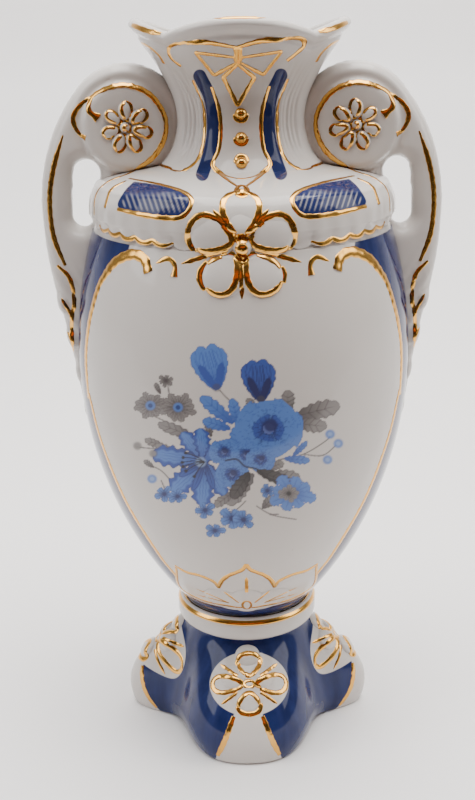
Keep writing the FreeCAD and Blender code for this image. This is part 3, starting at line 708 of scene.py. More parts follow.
def foot_faces(verts, count, outside, inside):
    """Joins the foot's rings: the outside ends in the top's pole, the inside starts at the underside's."""
    j = np.arange(count)
    k = (j + 1) % count
    faces = []
    for i in list(range(outside - 1)) + list(range(outside, outside + inside - 1)):
        a, b = i * count, (i + 1) * count
        faces.extend(np.column_stack([a + j, a + k, b + k, b + j]).tolist())
    last, first = (outside + inside - 1) * count, 0
    faces.extend(np.column_stack([last + j, last + k, first + k, first + j]).tolist())
    top_ring, under_ring = (outside - 1) * count, outside * count
    top_pole, under_pole = len(verts) - 2, len(verts) - 1
    faces.extend(np.column_stack([top_ring + j, top_ring + k, np.full(count, top_pole)]).tolist())
    faces.extend(np.column_stack([under_ring + k, under_ring + j, np.full(count, under_pole)]).tolist())
    piece = add_mesh("glazed_foot", verts, faces)
    piece.data.set_sharp_from_angle(angle=math.radians(50))
    return piece


# ------------------------------------------------------------------------------ the handles


VOLUTE = (37.5, 216.5)
SCROLL_RADIUS = 19.9
DISC_RADIUS = 14.4
WIDEST = 190.0


def body_radius(height):
    """Outer radius of bowl, shoulder or neck at a height, on the handles' side."""
    heights = np.concatenate([
        np.linspace(60, 184, 60), SHOULDER_HEIGHT(np.linspace(0, 0.98, 30)), np.linspace(205, 250, 30),
    ])
    radii = np.concatenate([
        bowl_radius(np.linspace(60, 184, 60)),
        SHOULDER_OUTSIDE(np.linspace(0, 0.98, 30)),
        LOBE_TIPS((np.linspace(205, 250, 30) - NECK_BASE) / (MOUTH_TOP - NECK_BASE)),
    ])
    return np.interp(height, heights, radii)


def handle_outline():
    """The handle's outside from the scroll's start on the neck, over the scroll and down to the tail."""
    across, up = HANDLE_REACH - VOLUTE[0], VOLUTE[1] - WIDEST
    back = (across**2 + up**2 - SCROLL_RADIUS**2) / (2 * (across - SCROLL_RADIUS))
    meet = math.atan2(up, VOLUTE[0] - HANDLE_REACH + back)
    scroll = [
        (VOLUTE[0] + SCROLL_RADIUS * math.cos(t), VOLUTE[1] + SCROLL_RADIUS * math.sin(t))
        for t in np.linspace(math.radians(160), meet, 24)
    ]
    side = [
        (HANDLE_REACH - back + back * math.cos(t), WIDEST + back * math.sin(t))
        for t in np.linspace(meet, 0, 16)
    ]
    arm = through(
        [
            (HANDLE_REACH, WIDEST), (HANDLE_REACH - 0.5, 178), (HANDLE_REACH - 2.3, 165), (61.6, 150),
            (58.9, 135), (56.7, 120), (54.4, 108), (51.9, TAIL_END)
        ],
        5
    )
    inner = [(30.0, TAIL_END), (30.0, 200.0), (15.0, 206.0)]
    return scroll + side[1:] + arm[1:].tolist() + inner


def loop_distance(x, z):
    """Signed distance to the finger loop: a tall drop, wider at its top, leaning as the arm does."""
    low, high, bend = (53.4, 187.0), (51.6, 201.2), 3.6
    slot = line_distance([low, high], x, z)
    widen = 0.9 * smooth(186, 200, z)
    return slot - bend - widen


def handle_form():
    """The handle's silhouette distance and half thickness on a grid across its front."""
    step = 0.55
    x = np.arange(14.0, HANDLE_REACH + 1.5, step)
    z = np.arange(TAIL_END - 1.5, HANDLE_TOP + 1.5, step)
    gx, gz = np.meshgrid(x, z, indexing="ij")
    outside = outline_distance(handle_outline(), gx, gz)
    outside = np.maximum(outside, -loop_distance(gx, gz))
    into_body = body_radius(gz) - 1.6 - gx
    distance = np.maximum(outside, into_body)
    full, thin = 6.5, 3.0
    half = thin + (full - thin) * smooth(TAIL_END, 158, gz)
    bend = 4.6
    edge = np.clip(-outside / bend, 0, 1)
    rounded = half * np.sqrt(np.clip(1 - (1 - edge) ** 2, 0, 1))
    return gx, gz, distance, rounded + handle_relief(gx, gz) * smooth(0.0, 3.0, -outside)


def handle_relief(x, z):
    """Relief on the handle's faces: the raised disc with its groove, and leaf veins down the arm."""
    away = np.hypot(x - VOLUTE[0], z - VOLUTE[1])
    disc = (DISC_THICKNESS / 2 - 6.5) * (1 - smooth(DISC_RADIUS - 1.6, DISC_RADIUS + 0.2, away))
    dish = -0.8 * np.exp(-((away / 7.5) ** 2))
    groove = -0.9 * np.exp(-(((away - DISC_RADIUS - 0.9) / 0.9) ** 2))
    veins = 0.35 * np.sin((z + 1.6 * (HANDLE_REACH - x)) * 0.95) * (1 - smooth(165, 176, z))
    return disc + dish + groove + veins


def handle_piece(side):
    """A handle raised from its silhouette, then remeshed to an even skin and smoothed."""
    gx, gz, distance, half = handle_form()
    solid = distance < 0.28
    number = np.cumsum(solid.ravel()).reshape(solid.shape) - 1
    count = int(solid.sum())
    keep = np.argwhere(solid)
    x, z = gx[solid], gz[solid]
    thick = np.maximum(half[solid], 0.02)
    front = np.column_stack([side * x, -thick, z])
    verts = np.vstack([front, front * (1, -1, 1)])
    faces = []
    borders = {}
    for i, k in keep:
        if i + 1 >= solid.shape[0] or k + 1 >= solid.shape[1]:
            continue
        if not (solid[i + 1, k] and solid[i, k + 1] and solid[i + 1, k + 1]):
            continue
        a, b, c, d = number[i, k], number[i + 1, k], number[i + 1, k + 1], number[i, k + 1]
        faces.append((a, b, c, d))
        for edge in ((a, b), (b, c), (c, d), (d, a)):
            borders[edge] = borders.get(edge, 0) + 1
    rims = [edge for edge in borders if (edge[1], edge[0]) not in borders]
    backs = [tuple(v + count for v in face[::-1]) for face in faces]
    walls = [(b, a, a + count, b + count) for a, b in rims]
    faces = faces + backs + walls
    if side < 0:
        faces = [face[::-1] for face in faces]
    return even_skin(f"glazed_handle_{'right' if side > 0 else 'left'}", verts, faces)


def leaflets(side):
    """Round leaf lobes that stand off the outer side of the arm, one above the other."""
    pieces = []
    lobes = (
        (63.2, 158.0, 11.0, 7.4), (60.6, 145.5, 11.0, 6.6), (58.2, 132.0, 11.0, 5.6),
        (56.0, 118.5, 10.0, 4.6)
    )
    for x, z, length, width in lobes:
        verts, faces = sphere_grid(20, 14)
        lean = math.radians(12)
        local = verts * (2.6, width, length / 2)
        turned = np.column_stack([
            local[:, 0] * math.cos(lean) + local[:, 2] * math.sin(lean), local[:, 1],
            local[:, 2] * math.cos(lean) - local[:, 0] * math.sin(lean),
        ])
        places = turned + (x - 1.9, 0, z)
        places[:, 0] *= side
        pieces.append((places, faces if side > 0 else [f[::-1] for f in faces]))
    return pieces


def sphere_grid(around, up):
    """A unit sphere of quads with poles on Z."""
    verts, faces = [], []
    for i in range(1, up):
        tilt = math.pi * i / up
        for j in range(around):
            turn = 2 * math.pi * j / around
            verts.append((math.sin(tilt) * math.cos(turn), math.sin(tilt) * math.sin(turn), math.cos(tilt)))
    verts += [(0, 0, 1), (0, 0, -1)]
    top, bottom = len(verts) - 2, len(verts) - 1
    for j in range(around):
        k = (j + 1) % around
        faces.append((top, j, k))
        for i in range(up - 2):
            faces.append((i * around + j, (i + 1) * around + j, (i + 1) * around + k, i * around + k))
        faces.append(((up - 2) * around + j, bottom, (up - 2) * around + k))
    return np.array(verts), faces


def even_skin(name, verts, faces):
    """Joins the raised solid and its leaf lobes into one even skin."""
    side = 1 if verts[:, 0].mean() > 0 else -1
    all_verts, all_faces = [verts], list(faces)
    base = len(verts)
    for places, lobe_faces in leaflets(side):
        all_verts.append(places)
        all_faces += [tuple(v + base for v in face) for face in lobe_faces]
        base += len(places)
    piece = add_mesh(name, np.vstack(all_verts), all_faces)
    remesh = piece.modifiers.new("even", "REMESH")
    remesh.mode = "VOXEL"
    remesh.voxel_size = 0.62 * MM
    soften = piece.modifiers.new("soften", "SMOOTH")
    soften.factor = 0.6
    soften.iterations = 6
    return bake(piece)


def bake(piece):
    """Turns a piece's modifiers into a plain mesh."""
    bpy.context.view_layer.update()
    evaluated = piece.evaluated_get(bpy.context.evaluated_depsgraph_get())
    mesh = bpy.data.meshes.new_from_object(evaluated)
    piece.modifiers.clear()
    old = piece.data
    piece.data = mesh
    bpy.data.meshes.remove(old)
    mesh.name = piece.name
    mesh.shade_smooth()
    return piece


# ------------------------------------------------------------------------------ cobalt grounds


def mirrored(points):
    return [(-x, z) for x, z in points]


PANEL_SIDE = [
    (36.5, 174.6), (39.8, 174.2), (45.0, 171.2), (49.7, 162.5), (53.4, 150.5), (55.2, 137.5),
    (54.9, 122.5), (51.3, 105.5), (43.6, 82.5), (32.6, 61.5), (26.6, 53.0),
]
LOTUS_BASE = [(25.5, 46.2), (16.0, 41.0), (5.0, 38.2), (0.0, 37.8)]
NECK_BAND_WIDTH = 4.3
NECK_BAND = [(13.2, 231.8), (10.0, 225.0), (9.1, 217.5), (9.6, 211.3), (11.3, 205.1), (13.1, 200.2)]
LOZENGE = [
    (36.0, 198.2), (27.0, 196.7), (19.6, 194.2), (17.2, 191.0), (21.0, 186.4), (31.2, 187.0),
    (41.4, 189.4), (39.6, 194.6)
]


FOOT_ROUNDEL = (0.5, 5.6, 15.2, 14.2)
FOOT_WEDGE = [(5.2, -6.0), (5.8, -8.7), (9.4, -19.5), (12.6, -26.6), (14.6, -34.0)]
FAR = 3.0


def panel_outline():
    """The white panel, whose upper corners stop short of the hem's ends."""
    side = through(PANEL_SIDE + LOTUS_BASE[:1], 6).tolist() + through(LOTUS_BASE, 4).tolist()[1:]
    half = [(0.0, 205.0), (37.2, 205.0), (37.6, 181.0), (38.6, 177.2)] + side
    return half + mirrored(half[1:-1])[::-1]


def bowl_ground(places):
    """How far each point lies within the cobalt, below zero in the white."""
    across, up = on_board(places)
    outside = np.clip(outline_distance(panel_outline(), across, up), -FAR, FAR)
    return np.where(np.abs(places[:, 1]) < 0.2 * np.abs(places[:, 0]), FAR, outside)


def shoulder_ground(places):
    across, up = on_board(places)
    patch = -outline_distance(through(LOZENGE + LOZENGE[:1], 6), np.abs(across), up)
    band = NECK_BAND_WIDTH / 2 - line_distance(through(NECK_BAND, 6), np.abs(across), up)
    ground = np.clip(np.maximum(patch, band), -FAR, FAR)
    return np.where(places[:, 2] > 187, ground, -FAR)


def comb_lines(places):
    """Thin slanting lines combed out of the wet cobalt of the lozenges."""
    across, up = on_board(places)
    across = np.abs(across)
    patch = outline_distance(through(LOZENGE + LOZENGE[:1], 6), across, up)
    slant = across * 0.98 - up * 0.30
    wave = np.abs((slant / 1.75) % 1.0 - 0.5) * 2
    fade = smooth(186.5, 189.5, up) * (1 - smooth(192.5, 195.5, up))
    return 0.6 * (1 - smooth(0.0, 0.42, wave)) * (1 - smooth(-1.7, -0.7, patch)) * fade


def neck_ground(places):
    across, up = on_board(places)
    band = NECK_BAND_WIDTH / 2 - line_distance(through(NECK_BAND, 6), np.abs(across), up)
    outward = np.hypot(places[:, 0], places[:, 1]) > 19.0
    facing = np.abs(places[:, 1]) > np.abs(places[:, 0]) * 0.6
    return np.where(outward & facing, np.clip(band, -FAR, FAR), -FAR)


def foot_ground(places):
    across, up = on_board(places, turns=4)
    centre_x, centre_z, wide, tall = FOOT_ROUNDEL
    roundel = (np.hypot((across - centre_x) / wide, (up - centre_z) / tall) - 1) * tall
    wedge = through(FOOT_WEDGE, 5).tolist()
    spread = outline_distance(wedge + mirrored(wedge)[::-1], across, up)
    inside = np.hypot(places[:, 0], places[:, 1]) < FOOT_STEM - 1
    return np.where(inside, -FAR, np.clip(np.minimum(roundel, spread), -FAR, FAR))


# ------------------------------------------------------------------------------ the bouquet


class Painter:
    """Lays translucent strokes of enamel over the bowl's front."""

    def __init__(self, across, up):
        self.x, self.y = across, up
        self.colour = np.zeros((len(across), 3))
        self.cover = np.zeros(len(across))

    def lay(self, colour, amount):
        amount = np.clip(amount, 0, 1)
        after = amount + self.cover * (1 - amount)
        share = np.where(after > 0, amount / np.maximum(after, 1e-6), 0)[:, None]
        self.colour = self.colour * (1 - share) + np.asarray(colour) * share
        self.cover = after

    def petal(self, root, tip, width, dark, light, point=0.5, veins=3, ragged=0.0):
        """A petal or leaf, dark at its root, with a drawn rim and veins that run out from the root."""
        dx, dy = tip[0] - root[0], tip[1] - root[1]
        length = math.hypot(dx, dy)
        u = ((self.x - root[0]) * dx + (self.y - root[1]) * dy) / length**2
        v = (-(self.x - root[0]) * dy + (self.y - root[1]) * dx) / length
        inside = np.clip(u, 0, 1)
        half = width / 2 * 1.25 * np.sqrt(inside) * np.sqrt(1 - inside ** (2 + 4 * point))
        half *= 1 + ragged * np.sin(inside * 34 + np.sign(v) * 1.3)
        edge = half - np.abs(v)
        amount = smooth(0.0, 0.25, edge) * ((u > 0) & (u < 1))
        self.lay(light, amount)
        self.lay(dark, amount * 0.75 * (1 - smooth(0.05, 0.75, inside)))
        self.lay(dark, amount * 0.55 * (1 - smooth(0.25, 0.7, edge)))
        for i in range(veins):
            course = (i - (veins - 1) / 2) / max(veins, 1) * 1.35
            line = 1 - smooth(0.06, 0.26, np.abs(v - course * half))
            self.lay(dark, amount * 0.6 * line * (1 - smooth(0.7, 0.95, inside)))

    def dot(self, centre, radius, colour, strength=0.9):
        away = np.hypot(self.x - centre[0], self.y - centre[1])
        self.lay(colour, strength * (1 - smooth(radius * 0.6, radius, away)))

    def stroke(self, points, width, colour, strength=0.85):
        away = line_distance(through(points, 5), self.x, self.y)
        self.lay(colour, strength * (1 - smooth(width * 0.25, width * 0.75, away)))


PALE, SKY, BLUE, DEEP = (0.24, 0.35, 0.57), (0.070, 0.17, 0.48), (0.024, 0.066, 0.31), (0.006, 0.012, 0.09)
PALE_GREY, GREY, INK = (0.20, 0.185, 0.18), (0.060, 0.052, 0.054), (0.008, 0.007, 0.008)


def bloom(painter, centre, radius, petals, dark, light, turn=0.0, heart=None, squash=0.85):
    """An open flower of petals round a heart."""
    for i in range(petals):
        bearing = turn + 2 * math.pi * i / petals
        reach = radius * (1 - 0.14 * math.sin(i * 2.4 + turn))
        tip = (centre[0] + reach * math.cos(bearing), centre[1] + reach * squash * math.sin(bearing))
        painter.petal(
            centre, tip, radius * (2.6 / petals + 0.28), dark, light, point=0.9, veins=1, ragged=0.14
        )
    painter.dot(centre, radius * 0.26, heart or dark)


def leaf(painter, root, tip, width, dark=GREY, light=PALE_GREY):
    """A toothed leaf with a midrib and slanting side veins."""
    painter.petal(root, tip, width, dark, light, point=0.12, veins=1, ragged=0.10)
    dx, dy = tip[0] - root[0], tip[1] - root[1]
    for share in (0.3, 0.48, 0.66):
        for side in (-1, 1):
            start = (root[0] + dx * share, root[1] + dy * share)
            out = width * 0.36 / math.hypot(dx, dy)
            stop = (start[0] + dx * 0.14 - side * dy * out, start[1] + dy * 0.14 + side * dx * out)
            painter.stroke([start, stop], 0.36, dark, 0.6)


def tulip(painter, base, top, width, dark, light):
    """A tulip seen from the side: cupped petals that overlap, each with a drawn rim."""
    bx, by = base
    dx, dy = top[0] - bx, top[1] - by
    side = (dy * 0.26, -dx * 0.26)
    cup = ((-1, 0.94, 0.56, light), (1, 0.9, 0.56, light), (-0.5, 1.02, 0.5, light), (0.55, 1.02, 0.5, light),
           (0.0, 0.94, 0.6, light), (-0.9, 0.62, 0.24, dark), (0.95, 0.56, 0.24, dark))
    for sign, reach, share, tone in cup:
        tip = (bx + dx * reach + sign * side[0], by + dy * reach + sign * side[1])
        painter.petal(base, tip, width * share, dark, tone, point=0.25, veins=3, ragged=0.05)
    for sign in (-0.6, -0.2, 0.25, 0.6):
        mid = (bx + dx * 0.5 + sign * side[0] * 0.9, by + dy * 0.5 + sign * side[1] * 0.9)
        end = (bx + dx * 0.86 + sign * side[0] * 0.7, by + dy * 0.86 + sign * side[1] * 0.7)
        painter.stroke([mid, end], 0.4, dark, 0.7)
    painter.dot((bx + dx * 0.06, by + dy * 0.06), width * 0.13, GREY, 0.5)


def paint_bouquet(across, up):
    """The bouquet on the front panel, from the stems and leaves at the back to the front blooms."""
    painter = Painter(across, up)
    stems = (
        [(4.2, 121.5), (1.2, 118.5), (0.0, 115.5)], [(-8.6, 124.5), (-3.5, 118.0), (-2.2, 110.0)],
        [(-27.0, 127.0), (-26.0, 121.0), (-22.5, 114.0)], [(-33.8, 116.0), (-28.0, 113.0), (-20.0, 108.0)],
        [
            (12.0, 98.0), (21.0, 100.0), (29.0, 105.0), (31.0, 107.5)
        ], [(21.0, 100.0), (28.0, 99.5), (33.0, 103.5)],
        [(8.8, 76.6), (13.0, 75.5), (18.5, 74.5)], [(4.0, 80.0), (8.5, 77.0), (12.0, 76.6)],
        [(-39.0, 103.6), (-33.0, 103.0), (-27.0, 103.5)], [(-34.0, 96.5), (-30.0, 94.0), (-26.0, 89.0)],
        [(-30.5, 90.5), (-29.0, 86.5), (-27.5, 83.5)], [(-6.5, 77.5), (-3.0, 79.0), (0.0, 82.0)],
    )
    for stem in stems:
        painter.stroke(stem, 0.5, GREY, 0.8)
    grey_leaves = (
        ((15.5, 115.5), (15.5, 124.5), 6.0), ((18.0, 114.5), (34.0, 118.5), 8.4),
        ((17.0, 112.0), (29.5, 110.5), 7.0),
        ((-18.0, 107.0), (-31.0, 112.5), 5.6), ((-12.0, 107.0), (-13.6, 114.0), 3.8),
        ((-28.0, 103.0), (-36.0, 106.5), 4.0),
        ((-24.0, 100.0), (-32.0, 104.5), 4.6), ((3.0, 93.0), (-6.5, 80.5), 7.6),
        ((7.5, 92.0), (20.0, 90.5), 7.6),
        ((-4.0, 86.0), (-11.5, 80.0), 4.8), ((6.0, 79.0), (11.0, 84.0), 5.0),
        ((-33.0, 95.5), (-36.5, 98.5), 2.8),
        ((4.5, 116.0), (1.0, 121.5), 4.0), ((8.0, 94.5), (14.0, 97.0), 4.6),
    )
    for root, tip, width in grey_leaves:
        leaf(painter, root, tip, width)
    for root, tip, width in (
        ((-4.0, 112.0), (-15.5, 122.5), 6.4), ((-2.0, 111.0), (-4.5, 121.5), 5.4),
        ((-5.0, 110.0), (-15.0, 113.5), 5.6), ((-2.0, 100.0), (-3.0, 111.0), 7.0),
        ((14.0, 98.5), (23.5, 97.5), 4.4), ((17.0, 99.0), (22.5, 105.0), 3.0)
    ):
        leaf(painter, root, tip, width, BLUE, SKY)
    tulip(painter, (-9.5, 124.6), (-13.4, 141.0), 15.0, BLUE, SKY)
    tulip(painter, (6.0, 120.0), (4.6, 135.5), 14.5, DEEP, BLUE)
    for centre, radius in (((-33.4, 119.2), 5.6), ((-23.6, 118.4), 6.2)):
        bloom(painter, centre, radius, 13, GREY, PALE_GREY, centre[0])
        painter.dot(centre, 2.1, SKY)
        painter.dot(centre, 1.1, DEEP, 0.8)
    bloom(painter, (-27.6, 128.4), 2.8, 6, GREY, PALE_GREY, 0.3)
    painter.petal((-29.6, 123.4), (-31.4, 127.6), 2.4, GREY, PALE_GREY)
    rose(painter, (8.6, 110.0), 12.4)
    lily(painter, (-14.5, 97.5))
    for centre, radius in (
        ((-7.5, 101.2), 5.6), ((0.4, 100.2), 5.6), ((-4.6, 92.6), 6.2), ((5.6, 98.2), 5.4)
    ):
        rose(painter, centre, radius)
    leaf(painter, (1.6, 93.5), (-5.0, 83.0), 6.6, INK, GREY)
    leaf(painter, (4.0, 94.0), (16.5, 89.0), 6.0, INK, GREY)
    painter.stroke(
        [(-7.0, 98.0), (-3.0, 98.4), (0.0, 95.6), (4.5, 94.4), (8.0, 91.0), (15.0, 88.8)], 0.7, INK, 0.9
    )
    bloom(painter, (16.8, 84.8), 8.2, 8, BLUE, SKY, 0.5)
    bloom(painter, (15.8, 84.8), 3.9, 9, GREY, PALE_GREY, 0.1, heart=INK)
    for centre, radius in (
        ((-29.6, 85.2), 3.6), ((-24.8, 84.2), 3.4), ((-14.8, 78.6), 3.8), ((-5.0, 75.2), 5.0),
        ((-0.8, 74.6), 4.2), ((-11.4, 70.4), 3.6), ((8.0, 86.0), 3.0)
    ):
        bloom(painter, centre, radius, 5, DEEP, SKY, centre[1])
    for centre in ((30.6, 107.6), (33.6, 104.0), (29.8, 97.8), (-33.8, 91.2)):
        painter.dot(centre, 2.2, SKY, 0.9)
        painter.dot(centre, 1.0, PALE, 0.8)
    for centre in ((-38.6, 104.0), (-33.0, 101.0)):
        painter.dot(centre, 2.0, GREY, 0.6)
        painter.dot(centre, 1.3, PALE_GREY, 0.9)
    return painter


def rose(painter, centre, radius):
    """A full rose: rings of round petals that close towards a dark heart."""
    cx, cy = centre
    painter.dot(centre, radius * 0.8, BLUE, 0.9)
    for share, petals, dark, light in (
        (1.0, 7, BLUE, SKY), (0.8, 6, BLUE, SKY), (0.62, 5, DEEP, SKY), (0.46, 5, DEEP, BLUE),
        (0.3, 4, DEEP, BLUE)
    ):
        for i in range(petals):
            bearing = 2 * math.pi * i / petals + share * 2.1 + cx
            tip = (cx + radius * share * math.cos(bearing), cy + 0.84 * radius * share * math.sin(bearing))
            root = (cx + 0.16 * radius * math.cos(bearing), cy + 0.16 * radius * math.sin(bearing))
            painter.petal(root, tip, radius * share * 1.1, dark, light, point=1.0, veins=2, ragged=0.07)
    painter.dot((cx + radius * 0.06, cy + radius * 0.1), radius * 0.24, DEEP, 0.9)


def lily(painter, centre):
    """The large lily in front: broad frilled petals with dark throats, and stamens."""
    cx, cy = centre
    for tip, width in (
        ((-22.5, 109.0), 7.0), ((-16.0, 110.5), 7.0), ((-33.5, 101.0), 9.0), ((-27.0, 86.0), 9.5),
        ((-16.0, 80.5), 9.0), ((-7.5, 84.5), 7.0), ((-9.5, 104.0), 6.0)
    ):
        painter.petal(centre, tip, width, DEEP, BLUE, point=0.45, veins=2, ragged=0.15)
        painter.petal(centre, tip, width * 0.62, BLUE, SKY, point=0.3, veins=3, ragged=0.12)
    for tip in ((-24.0, 92.0), (-19.0, 86.5), (-11.5, 87.0)):
        painter.petal(centre, tip, 3.4, DEEP, BLUE, point=0.2, veins=1)
    painter.dot((cx - 1.5, cy), 2.4, PALE, 0.7)
    for bearing in (2.55, 2.85, 3.15, 3.4, 3.7, 4.2):
        end = (cx + 8.2 * math.cos(bearing), cy + 6.4 * math.sin(bearing))
        painter.stroke([centre, ((cx + end[0]) / 2, (cy + end[1]) / 2 + 0.5), end], 0.42, INK, 0.9)
        painter.dot(end, 0.8, INK, 0.95)


def bowl_enamel(places):
    """Enamel colour and cover for every point of the bowl: the bouquet is only on the front."""
    across, up = on_board(places)
    rgba = np.zeros((len(places), 4))
    near = (places[:, 1] < 0) & (np.abs(across) < 45) & (up > 66) & (up < 144)
    outward = np.hypot(places[:, 0], places[:, 1]) > bowl_radius(places[:, 2]) - 1
    near &= outward
    painter = paint_bouquet(across[near], up[near])
    rgba[near, :3] = painter.colour
    rgba[near, 3] = painter.cover * 0.94
    return rgba


# ------------------------------------------------------------------------------ gilding


MARK_STEP = 0.45
WIDEST_GAP = 3.0
TAPER_SHARE = 0.18
SUNK_SHARE = 0.08


class Canvas:
    """Everything that gilding is thrown onto."""

    def __init__(self, pieces):
        verts, faces = [], []
        for piece in pieces:
            base = len(verts)
            verts += [v.co.copy() for v in piece.data.vertices]
            faces += [tuple(v + base for v in polygon.vertices) for polygon in piece.data.polygons]
        self.tree = BVHTree.FromPolygons(verts, faces)

    def throw(self, points, turn):
        """Throws marks from the drawing board onto the vase, turned about its axis. Returns runs of places
        and normals, because a line is broken where it passes over an edge."""
        c, s = math.cos(turn), math.sin(turn)
        distance, height = sizes().eye_distance, sizes().eye_height
        eye = Vector((s * distance, -c * distance, height))
        runs, run = [], []
        for across, up in points:
            board = Vector((c * across, s * across, up)) * MM
            place, normal, _, _ = self.tree.ray_cast(eye, (board - eye).normalized())
            broken = place is None or (run and (place - run[-1][0]).length > WIDEST_GAP * MM)
            if broken and len(run) > 1:
                runs.append(run)
            if broken:
                run = []
            if place is not None:
                run.append((place, normal))
        if len(run) > 1:
            runs.append(run)
        return runs


def evenly(line, step):
    """Places a step apart along a line."""
    line = np.asarray(line, float)
    spans = np.hypot(*(line[1:] - line[:-1]).T)
    along = np.concatenate([[0], np.cumsum(spans)])
    count = max(int(along[-1] / step), 4) + 1
    places = np.linspace(0, along[-1], count)
    return np.column_stack([np.interp(places, along, line[:, i]) for i in (0, 1)])


class Gilding:
    """Collects gilt lines as paths on the glaze, which a node tree then gives their section."""

    def __init__(self, canvas):
        self.canvas = canvas
        self.places, self.normals, self.edges, self.radii = [], [], [], []

    def line(self, points, width=1.0, taper=(0.7, 0.7), turn=0.0, curved=True, drop=0.0):
        """One brush line. width is its full width, taper the share of it at each end, and drop the extra
        width of a drop at the line's end."""
        dense = through(points, 8) if curved else np.array(points, float)
        marks = evenly(dense, MARK_STEP)
        for run in self.canvas.throw(marks, turn):
            self.add_run(run, width, taper, drop)

    def add_run(self, run, width, taper, drop):
        """One unbroken run of a line, smoothed and tapered."""
        count = len(run)
        places = np.array([place for place, _ in run])
        normals = np.array([normal for _, normal in run])
        for _ in range(2):
            places[1:-1] = (places[:-2] + 2 * places[1:-1] + places[2:]) / 4
        share = np.linspace(0, 1, count)
        ends = np.minimum(share / TAPER_SHARE, 1) * (1 - taper[0]) + taper[0]
        ends *= np.minimum((1 - share) / TAPER_SHARE, 1) * (1 - taper[1]) + taper[1]
        half = width / 2 * sizes().line_spread * ends * (1 + 0.07 * np.sin(share * count * 0.9))
        half += drop * np.exp(-(((1 - share) * count / 3.0) ** 2))
        sunk = places - normals * (SUNK_SHARE * half * MM)[:, None]
        base = len(self.places)
        self.places += sunk.tolist()
        self.normals += normals.tolist()
        self.radii += (half * MM).tolist()
        self.edges += [(base + i, base + i + 1) for i in range(count - 1)]

    def piece(self, name):
        mesh = bpy.data.meshes.new(name)
        mesh.from_pydata(self.places, self.edges, [])
        piece = bpy.data.objects.new(name, mesh)
        bpy.context.scene.collection.objects.link(piece)
        store_amount(piece, "half_width", self.radii)
        facing = mesh.attributes.new("facing", "FLOAT_VECTOR", "POINT")
        facing.data.foreach_set("vector", np.array(self.normals, np.float32).ravel())
        modifier = piece.modifiers.new("section", "NODES")
        modifier.node_group = gilt_line_tree()
        sockets = {
            item.name: item.identifier
            for item in modifier.node_group.interface.items_tree
            if item.item_type == "SOCKET" and item.in_out == "INPUT"
        }
        modifier[sockets["Sides"]] = sizes().line_sides
        modifier[sockets["Relief"]] = sizes().line_relief
        modifier[sockets["Material"]] = material("gold_lustre")
        return settle(bake(piece), material("gold_lustre"), "gilt_porcelain")


def gilt_line_tree():
    """Gives every path a flattened round section of the path's own width, square to the glaze."""
    tree = bpy.data.node_groups.get("Gilt line")
    if tree:
        return tree
    tree = bpy.data.node_groups.new("Gilt line", "GeometryNodeTree")
    tree.interface.new_socket(name="Paths", in_out="INPUT", socket_type="NodeSocketGeometry")
    tree.interface.new_socket(name="Sides", in_out="INPUT", socket_type="NodeSocketInt")
    tree.interface.new_socket(name="Relief", in_out="INPUT", socket_type="NodeSocketFloat")
    tree.interface.new_socket(name="Material", in_out="INPUT", socket_type="NodeSocketMaterial")
    tree.interface.new_socket(name="Lines", in_out="OUTPUT", socket_type="NodeSocketGeometry")
    nodes, links = tree.nodes, tree.links
    start, end = nodes.new("NodeGroupInput"), nodes.new("NodeGroupOutput")
    curve = nodes.new("GeometryNodeMeshToCurve")
    width, facing = nodes.new("GeometryNodeInputNamedAttribute"), nodes.new("GeometryNodeInputNamedAttribute")
    width.data_type, facing.data_type = "FLOAT", "FLOAT_VECTOR"
    width.inputs["Name"].default_value, facing.inputs["Name"].default_value = "half_width", "facing"
    turn = nodes.new("GeometryNodeSetCurveNormal")
    turn.mode = "FREE"
    section = nodes.new("GeometryNodeCurvePrimitiveCircle")
    section.inputs["Radius"].default_value = 1.0
    flatness = nodes.new("ShaderNodeCombineXYZ")
    flatness.inputs["Y"].default_value = 1.0
    flatness.inputs["Z"].default_value = 1.0
    flatten = nodes.new("GeometryNodeTransform")
    sweep = nodes.new("GeometryNodeCurveToMesh")
    sweep.inputs["Fill Caps"].default_value = True
    shade = nodes.new("GeometryNodeSetShadeSmooth")
    realise = nodes.new("GeometryNodeRealizeInstances")
    finish = nodes.new("GeometryNodeSetMaterial")
    links.new(start.outputs["Paths"], curve.inputs["Mesh"])
    links.new(curve.outputs["Curve"], turn.inputs["Curve"])
    links.new(facing.outputs["Attribute"], turn.inputs["Normal"])
    links.new(start.outputs["Sides"], section.inputs["Resolution"])
    links.new(section.outputs["Curve"], flatten.inputs["Geometry"])
    links.new(start.outputs["Relief"], flatness.inputs["X"])
    links.new(flatness.outputs["Vector"], flatten.inputs["Scale"])
    links.new(turn.outputs["Curve"], sweep.inputs["Curve"])
    links.new(flatten.outputs["Geometry"], sweep.inputs["Profile Curve"])
    links.new(width.outputs["Attribute"], sweep.inputs["Scale"])
    links.new(sweep.outputs["Mesh"], shade.inputs["Geometry"])
    links.new(shade.outputs["Geometry"], realise.inputs["Geometry"])
    links.new(realise.outputs["Geometry"], finish.inputs["Geometry"])
    links.new(start.outputs["Material"], finish.inputs["Material"])
    links.new(finish.outputs["Geometry"], end.inputs["Lines"])
    return tree


def both_sides(gilding, points, **keywords):
    """A line and its mirror image."""
    gilding.line(points, **keywords)
    gilding.line(mirrored(points), **keywords)


def petal_outline(centre, bearing, reach, length, width):
    """A closed petal outline whose root points at the flower's centre."""
    points = []
    for turn in np.linspace(0, 2 * math.pi, 22):
        u = reach + length / 2 * math.cos(turn)
        v = width / 2 * math.sin(turn) * (0.72 + 0.28 * math.cos(turn))
        points.append((
            centre[0] + u * math.cos(bearing) - v * math.sin(bearing),
            centre[1] + u * math.sin(bearing) + v * math.cos(bearing),
        ))
    return points


